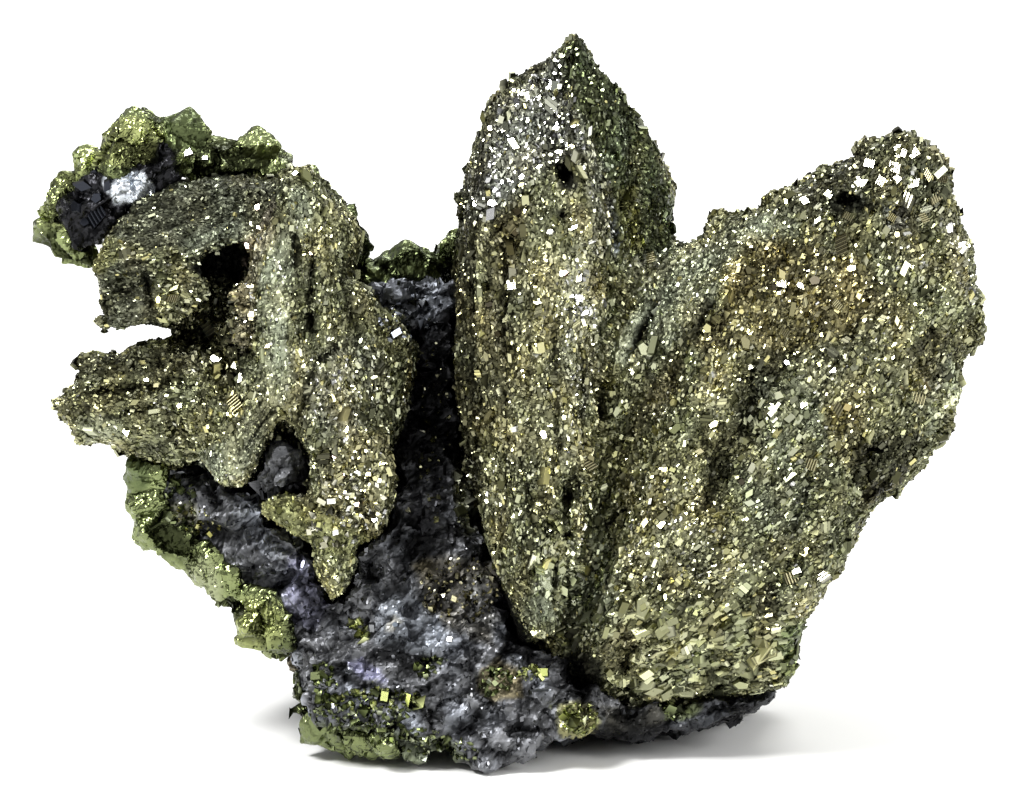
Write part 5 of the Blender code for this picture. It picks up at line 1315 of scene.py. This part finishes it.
def grains_on(name, skin, seed, surface, batches, parts=1, gold_share=0.0):
    """The grains that stand on a skin, joined in a few pieces side by side.

    Each batch gives the usual width in mm, how many stand on a square mm, how far they are tipped, how much
    they keep to the places of coarse grains, the shares of the four forms, and whether they are flat flakes.
    """
    sizes = bpy.context.scene.specimen_sizes
    dice = np.random.default_rng(sizes.seed + seed)
    forms = [arrays_of(form()) for form in (tile_form, stair_form, corner_form, pentagon_form)]
    joined, bounds = [Scatter() for _ in range(parts)], None
    points, facing, middles, areas = triangles_of(skin)
    size, crowding = surface(drawn_from(middles))[1:3]
    share = areas * front_share(facing, sizes) * crowding * (middles[:, 2] > LOWEST_GRAIN)
    for batch in batches:
        wanted = wanted_on(batch, areas, share, size, side_on(facing, 0.35))
        if wanted.sum() < 1:
            continue
        spots, normals = spots_on(points, facing, wanted, dice)
        places = drawn_from(spots)
        tint, size_here, _, glint = surface(places)
        count = len(spots)
        dims = grain_dims(batch, size_here, normals, dice)
        tilts, tones, borders = flakes_at(places)
        tints = grain_tints(tint, glint, tones, borders, 0 if batch.flat else gold_share, dice)
        half = glint_directions(spots)
        towards = np.einsum("ni,ni->n", normals, half) - 0.3 * side_on(normals, 0.4)
        glints = (dice.random(count) < glint * GLINT_SHARE) & (towards > 0.35 + 0.25 * batch.coarse)
        # Glinting grains get a painted highlight, 1.4 times lighter; the others get painted shade between the
        # glints
        tints = np.clip(tints * np.where(glints, 1.4, 1 - GLINT_PAINTED_SHADE * glint)[:, None], *TINT_LIMITS)
        dims *= np.where(glints, 0.75 + 0.5 * glint, 1.0)[:, None]
        roughness = 0.40 - 0.42 * np.sqrt(glint) + 0.07 * dice.normal(size=count)
        roughness = np.clip(np.where(glints, 0.12 + 0.28 * dice.random(count), roughness), 0.10, 0.6)
        kind = np.where(glints, dice.choice(4, size=count, p=(0.45, 0.0, 0.0, 0.55)),
                        dice.choice(4, size=count, p=batch.forms))
        lean = normals + (0.18 if batch.flat else 0.5) * tilts
        turns = turns_onto(lean, dice, 0.7 * batch.spread, growth_directions(places))
        turns = np.where(glints[:, None, None], turns_onto(half, dice, 0.07), turns)
        turns[:, :, 1] += 0.35 * dice.normal(size=count)[:, None] * turns[:, :, 0]
        if bounds is None:
            bounds = np.quantile(places[:, 0], np.linspace(0, 1, parts + 1))[1:-1]
        band = np.searchsorted(bounds, places[:, 0])
        for part in range(parts):
            for number, form in enumerate(forms):
                use = (kind == number) & (band == part)
                joined[part].add(form, spots[use], turns[use], dims[use], tints[use], roughness[use])
    return [part.piece(f"{name}_{number + 1}") for number, part in enumerate(joined)]


def tree_of(*pieces):
    """A search tree over the triangles of the pieces."""
    verts, faces, total = [], [], 0
    for piece in pieces:
        piece.data.calc_loop_triangles()
        verts.extend(vert.co.copy() for vert in piece.data.vertices)
        faces.extend(tuple(index + total for index in tri.vertices) for tri in piece.data.loop_triangles)
        total = len(verts)
    return BVHTree.FromPolygons(verts, faces)


def seen_spot(tree, right, up):
    """The nearest point of the tree that a viewer sees at a drawn place, and its normal."""
    start = on_specimen(right, up, -60.0)
    hit = tree.ray_cast(start, SIGHT)
    return (hit[0], hit[1]) if hit[0] is not None else (None, None)


def gathered(name, tree, bits, seed):
    """Small crystals of one mineral gathered on another, joined in one piece."""
    dice = np.random.default_rng(bpy.context.scene.specimen_sizes.seed + seed)
    joined = Scatter()
    forms = [arrays_of(form()) for form in (tile_form, corner_form, octahedron_form)]
    for bit in bits:
        turn = math.radians(bit.turn)
        centres, normals = [], []
        for _ in range(bit.count):
            reach, angle = math.sqrt(dice.random()), dice.random() * math.tau
            across, along = reach * bit.across * math.cos(angle), reach * bit.along * math.sin(angle)
            right = bit.right + across * math.cos(turn) - along * math.sin(turn)
            up = bit.up + across * math.sin(turn) + along * math.cos(turn)
            spot, normal = seen_spot(tree, right, up)
            if spot is not None and spot.z > LOWEST_GRAIN:
                centres.append(spot)
                normals.append(normal)
        count = len(centres)
        if not count:
            continue
        across = bit.size * np.exp(0.4 * dice.normal(size=count))
        dims = across[:, None] * np.exp(0.3 * dice.normal(size=(count, 3))) * MM
        tints = varied(np.tile(TINTS[bit.tint], (count, 1)), dice, np.full(count, 0.4))
        roughness = np.clip(0.24 + 0.1 * dice.normal(size=count), 0.08, 0.5)
        turns, centres = turns_onto(np.array(normals), dice, 0.6), np.array(centres)
        kind = dice.choice(3, size=count, p=(0.3, 0.4, 0.3))
        for number, form in enumerate(forms):
            use = kind == number
            joined.add(form, centres[use], turns[use], dims[use], tints[use], roughness[use])
    return joined.piece(name)


def pyrite_batches(sizes):
    return (
        Batch(sizes.fine_grain, sizes.fine_count, 0.5, 0.0, (0.3, 0.0, 0.6, 0.1)),
        Batch(sizes.middle_grain, sizes.middle_count, 0.35, 0.5, (0.4, 0.1, 0.25, 0.25)),
        Batch(sizes.coarse_grain, sizes.coarse_count, 0.22, 1.0, (0.5, 0.2, 0.1, 0.2)),
        Batch(sizes.flat_grain, sizes.flat_count, 0.1, 0.0, (0.35, 0.0, 0.0, 0.65), True))


def facing_turn(degrees, normal, dice, tilt):
    """A turn whose Z axis follows the normal and whose Y axis points that far left of upwards as drawn."""
    angle = math.radians(degrees)
    picture_up = Vector((0, math.sin(LOOK_DOWN), math.cos(LOOK_DOWN)))
    ahead = Vector((-1, 0, 0)) * math.sin(angle) + picture_up * math.cos(angle)
    wanted = (Vector(normal) + tilt * Vector(dice.normal(size=3))).normalized()
    side = ahead.cross(wanted).normalized()
    return np.array((side, wanted.cross(side), wanted)).T


def large_crystals(name, trees, seed, plates, striated):
    """Large flat faces and striated crystals, joined in one piece. None stands over the outline."""
    dice = np.random.default_rng(bpy.context.scene.specimen_sizes.seed + seed)
    joined = Scatter()
    tile, pentagon, ruled = (arrays_of(form()) for form in (tile_form, pentagon_form, striated_form))

    def put(form, right, up, degrees, size, tint, flash):
        spot, outward = seen_spot(trees, right, up)
        reach = 0.7 * max(size[:2])
        corners = [(right + across, up + along) for across in (-reach, reach) for along in (-reach, reach)]
        if spot is None or any(seen_spot(trees, *corner)[0] is None for corner in corners):
            return
        half = Vector(glint_directions(np.array([spot]))[0])
        lean = half if flash else (Vector(outward) - SIGHT).normalized()
        turn = facing_turn(degrees, lean, dice, 0.04 if flash else 0.2)
        turn[:, 1] += 0.3 * dice.normal() * turn[:, 0]
        joined.add(form, np.array([spot]), turn[None], np.array([size]) * MM, np.array([TINTS[tint]]),
                   np.array([0.18 + 0.15 * dice.random()]))

    for plate in plates:
        thick = 0.55 * min(plate.wide, plate.high) + 0.25
        form = pentagon if dice.random() < 0.5 else tile
        size = (0.75 * plate.wide, 0.85 * plate.high, thick)
        put(form, plate.right, plate.up, plate.turn, size, plate.tint, plate.flash)
    for crystal in striated:
        size = (0.75 * crystal.size, crystal.size, 0.6 * crystal.size)
        put(ruled, crystal.right, crystal.up, crystal.turn, size, crystal.tint, crystal.tint == "silver")
    return joined.piece(name)


def crusted_blades(name, node, seed, parts, tip=None):
    """Makes the skin and the grains of one group of blades."""
    sizes = bpy.context.scene.specimen_sizes
    bare = fine_copy(f"{name}_skin", node, sizes.blade_voxel)
    if tip:
        sharpened(bare, *tip)
    skin = crusted(bare, sizes.swell + sizes.seam * seam_swell(bare, node))
    finish_piece(skin, "pyrite crust", "pyrite", node)
    grains = grains_on(f"{name}_grains", skin, seed, crust_at, pyrite_batches(sizes), parts, GOLD_SHARE)
    for piece in grains:
        finish_piece(piece, "pyrite grains", "pyrite")


class SPECIMEN_OT_big_blades(bpy.types.Operator):
    """Model the crust of the centre and right blades"""
    bl_idname = "specimen.big_blades"
    bl_label = "Centre and right blades"

    def execute(self, context):
        crusted_blades("big_blade", "centre_and_right_blades", 1, 4, CENTRE_TIP)
        return {"FINISHED"}


class SPECIMEN_OT_left_blades(bpy.types.Operator):
    """Model the crust of the left blades"""
    bl_idname = "specimen.left_blades"
    bl_label = "Left blades"

    def execute(self, context):
        crusted_blades("left_blade", "left_blades", 2, 2)
        return {"FINISHED"}


class SPECIMEN_OT_sulphide_rock(bpy.types.Operator):
    """Model the broken dark rock with its own grains"""
    bl_idname = "specimen.sulphide_rock"
    bl_label = "Sulphide rock"

    def execute(self, context):
        sizes = context.scene.specimen_sizes
        bare = fine_copy("rock_skin", "sulphide_rock", sizes.rock_voxel)
        skin = broken(bare, sizes.seam * seam_swell(bare, "sulphide_rock"))
        finish_piece(skin, "sphalerite and galena rock", "sulphide_rock", "sulphide_rock")
        batch = Batch(0.30, 1.0, 0.8, 0.0, (0.4, 0.0, 0.4, 0.2))
        for piece in grains_on("rock_grains", skin, 3, rock_at, [batch]):
            finish_piece(piece, "pyrite grains", "sulphide_rock")
        return {"FINISHED"}


class SPECIMEN_OT_galena(bpy.types.Operator):
    """Model the dark cubes in the upper left hollow"""
    bl_idname = "specimen.galena"
    bl_label = "Galena"

    def execute(self, context):
        sizes = context.scene.specimen_sizes
        bare = fine_copy("galena_skin", "shelf_galena", sizes.cluster_voxel)
        skin = stepped(bare, 1.8 * sizes.seam * seam_swell(bare, "shelf_galena", 1.8))
        finish_piece(skin, "sphalerite and galena rock", "galena", "shelf_galena")
        return {"FINISHED"}


class SPECIMEN_OT_chalcopyrite(bpy.types.Operator):
    """Model the crumpled faces of the green and brassy crystals"""
    bl_idname = "specimen.chalcopyrite"
    bl_label = "Chalcopyrite"

    def execute(self, context):
        sizes = context.scene.specimen_sizes
        for number, place in enumerate(("shelf", "rear", "gap", "edge", "foot")):
            node = f"{place}_chalcopyrite"
            bare = fine_copy(f"{node}_skin", node, sizes.cluster_voxel)
            skin = crumpled(bare, 1.6 * sizes.seam * seam_swell(bare, node, 1.6))
            finish_piece(skin, "chalcopyrite foil", "chalcopyrite", node)
            batch = Batch(0.34, 1.2 if place == "foot" else 0.15, 0.35, 0.5, (0.4, 0.0, 0.4, 0.2))
            for piece in grains_on(f"{node}_grains", skin, 10 + number, chalcopyrite_at, [batch]):
                finish_piece(piece, "pyrite grains", "chalcopyrite")
        return {"FINISHED"}


class SPECIMEN_OT_large_crystals(bpy.types.Operator):
    """Place the large crystals and the minerals gathered on the skins"""
    bl_idname = "specimen.large_crystals"
    bl_label = "Large crystals"

    def execute(self, context):
        skins = [piece for piece in bpy.data.objects if piece.name.endswith("_skin")]
        tree = tree_of(*skins)
        bits = gathered("rock_bits", tree, GATHERED_BITS, 4)
        finish_piece(bits, "pyrite grains", "chalcopyrite")
        crystals = large_crystals("large_crystals", tree, 5, PLATES, STRIATED_CRYSTALS)
        finish_piece(crystals, "pyrite grains", "pyrite")
        cubes = large_crystals("galena_cubes", tree, 6, GALENA_CUBES, GALENA_STRIATED)
        finish_piece(cubes, "pyrite grains", "galena")
        return {"FINISHED"}


class SPECIMEN_OT_minerals(bpy.types.Operator):
    """Make the mineral materials"""
    bl_idname = "specimen.minerals"
    bl_label = "Minerals"

    def execute(self, context):
        # Intergrown pyrite: strongly tipped facets, which glitter between the grains
        tinted_metal("pyrite crust", cell_mm=0.3, facet_strength=0.9, grit_mm=0.15)
        # Broken sphalerite with galena: a dull metallic sheen on small cleavage faces
        tinted_metal(
            "sphalerite and galena rock", cell_mm=0.4, facet_strength=0.55, grit_mm=0.1, metallic=0.85)
        # Tarnished chalcopyrite: smooth, bright faces with soft dents, like foil
        tinted_metal("chalcopyrite foil", cell_mm=0.4, facet_strength=0.5, grit_mm=0.2)
        # Single grown crystals: plain mirror faces, each with its own tint and polish
        grain_metal("pyrite grains")
        return {"FINISHED"}


def area_light(name, place, aim, size, power, colour=(1, 1, 1)):
    data = bpy.data.lights.new(name, "AREA")
    data.shape = "RECTANGLE"
    data.size, data.size_y = size
    data.energy = power
    data.color = colour
    lamp = bpy.data.objects.new(name, data)
    bpy.context.scene.collection.objects.link(lamp)
    lamp.location = place
    lamp.rotation_mode = "QUATERNION"
    lamp.rotation_quaternion = (Vector(aim) - Vector(place)).to_track_quat("-Z", "Y")


class SPECIMEN_OT_studio(bpy.types.Operator):
    """Set up the floor, the lights and the camera"""
    bl_idname = "specimen.studio"
    bl_label = "Studio"

    def execute(self, context):
        studio = context.scene.specimen_studio
        shape = bmesh.new()
        bmesh.ops.create_grid(shape, x_segments=1, y_segments=1, size=3.0)
        mesh = bpy.data.meshes.new("floor")
        shape.to_mesh(mesh)
        shape.free()
        floor = new_piece("floor", mesh)
        # Matt paint: soft shadows and no reflections
        material, tree = empty_material("matt pale floor")
        shader = node_with(tree, "ShaderNodeBsdfPrincipled", Roughness=0.9)
        shader.inputs["Base Color"].default_value = (*studio.floor_colour, 1)
        node_with(tree, "ShaderNodeOutputMaterial", [("Surface", shader.outputs[0])])
        mesh.materials.append(material)

        world = bpy.data.worlds.new("room")
        context.scene.world = world
        context.scene.view_settings.view_transform = "Standard"
        world.use_nodes = True
        room = world.node_tree
        backdrop = room.nodes["Background"]
        backdrop.inputs["Color"].default_value = (1, 1, 1, 1)
        place = node_with(room, "ShaderNodeTexCoord")
        height = node_with(room, "ShaderNodeSeparateXYZ", [("Vector", place.outputs["Generated"])])
        brightness = node_with(room, "ShaderNodeMapRange", [("Value", height.outputs["Z"])])
        for socket, value in (("From Min", 0.1), ("From Max", 0.75), ("To Min", studio.room_low),
                              ("To Max", studio.room_light)):
            brightness.inputs[socket].default_value = value
        room.links.new(brightness.outputs[0], backdrop.inputs["Strength"])
        area_light("key", KEY_PLACE, MIDDLE, (0.24, 0.24), studio.key_power)
        area_light("fill", (0.62, -0.50, 0.40), MIDDLE, (0.30, 0.4), studio.fill_power)
        area_light("rim", (0.15, 0.6, 0.7), MIDDLE, (0.5, 0.3), studio.fill_power)

        data = bpy.data.cameras.new("camera")
        data.lens = LENS
        data.sensor_width = SENSOR
        camera = bpy.data.objects.new("camera", data)
        context.scene.collection.objects.link(camera)
        camera.location = EYE
        camera.rotation_mode = "QUATERNION"
        camera.rotation_quaternion = SIGHT.to_track_quat("-Z", "Y")
        context.scene.camera = camera
        return {"FINISHED"}


STEPS = (
    SPECIMEN_OT_studio, SPECIMEN_OT_minerals, SPECIMEN_OT_big_blades, SPECIMEN_OT_left_blades,
    SPECIMEN_OT_sulphide_rock, SPECIMEN_OT_galena, SPECIMEN_OT_chalcopyrite, SPECIMEN_OT_large_crystals)


class SPECIMEN_PT_panel(bpy.types.Panel):
    """Lists the specimen's steps and their settings"""
    bl_idname = "SPECIMEN_PT_panel"
    bl_label = "Pyrite pseudomorph specimen"
    bl_space_type = "VIEW_3D"
    bl_region_type = "UI"
    bl_category = "Specimen"

    def draw(self, context):
        for step in STEPS:
            self.layout.operator(step.bl_idname)
        for settings in (context.scene.specimen_sizes, context.scene.specimen_studio):
            for name in settings.__annotations__:
                self.layout.prop(settings, name)


CLASSES = (SpecimenSizes, SpecimenStudio, *STEPS, SPECIMEN_PT_panel)


def register():
    for cls in CLASSES:
        bpy.utils.register_class(cls)
    bpy.types.Scene.specimen_sizes = PointerProperty(type=SpecimenSizes)
    bpy.types.Scene.specimen_studio = PointerProperty(type=SpecimenStudio)


def unregister():
    del bpy.types.Scene.specimen_studio
    del bpy.types.Scene.specimen_sizes
    for cls in reversed(CLASSES):
        bpy.utils.unregister_class(cls)


def main():
    noise.seed_set(FACET_SEED)
    register()
    for step in STEPS:
        group, call = step.bl_idname.split(".")
        getattr(getattr(bpy.ops, group), call)()


if __name__ == "__main__":
    main()
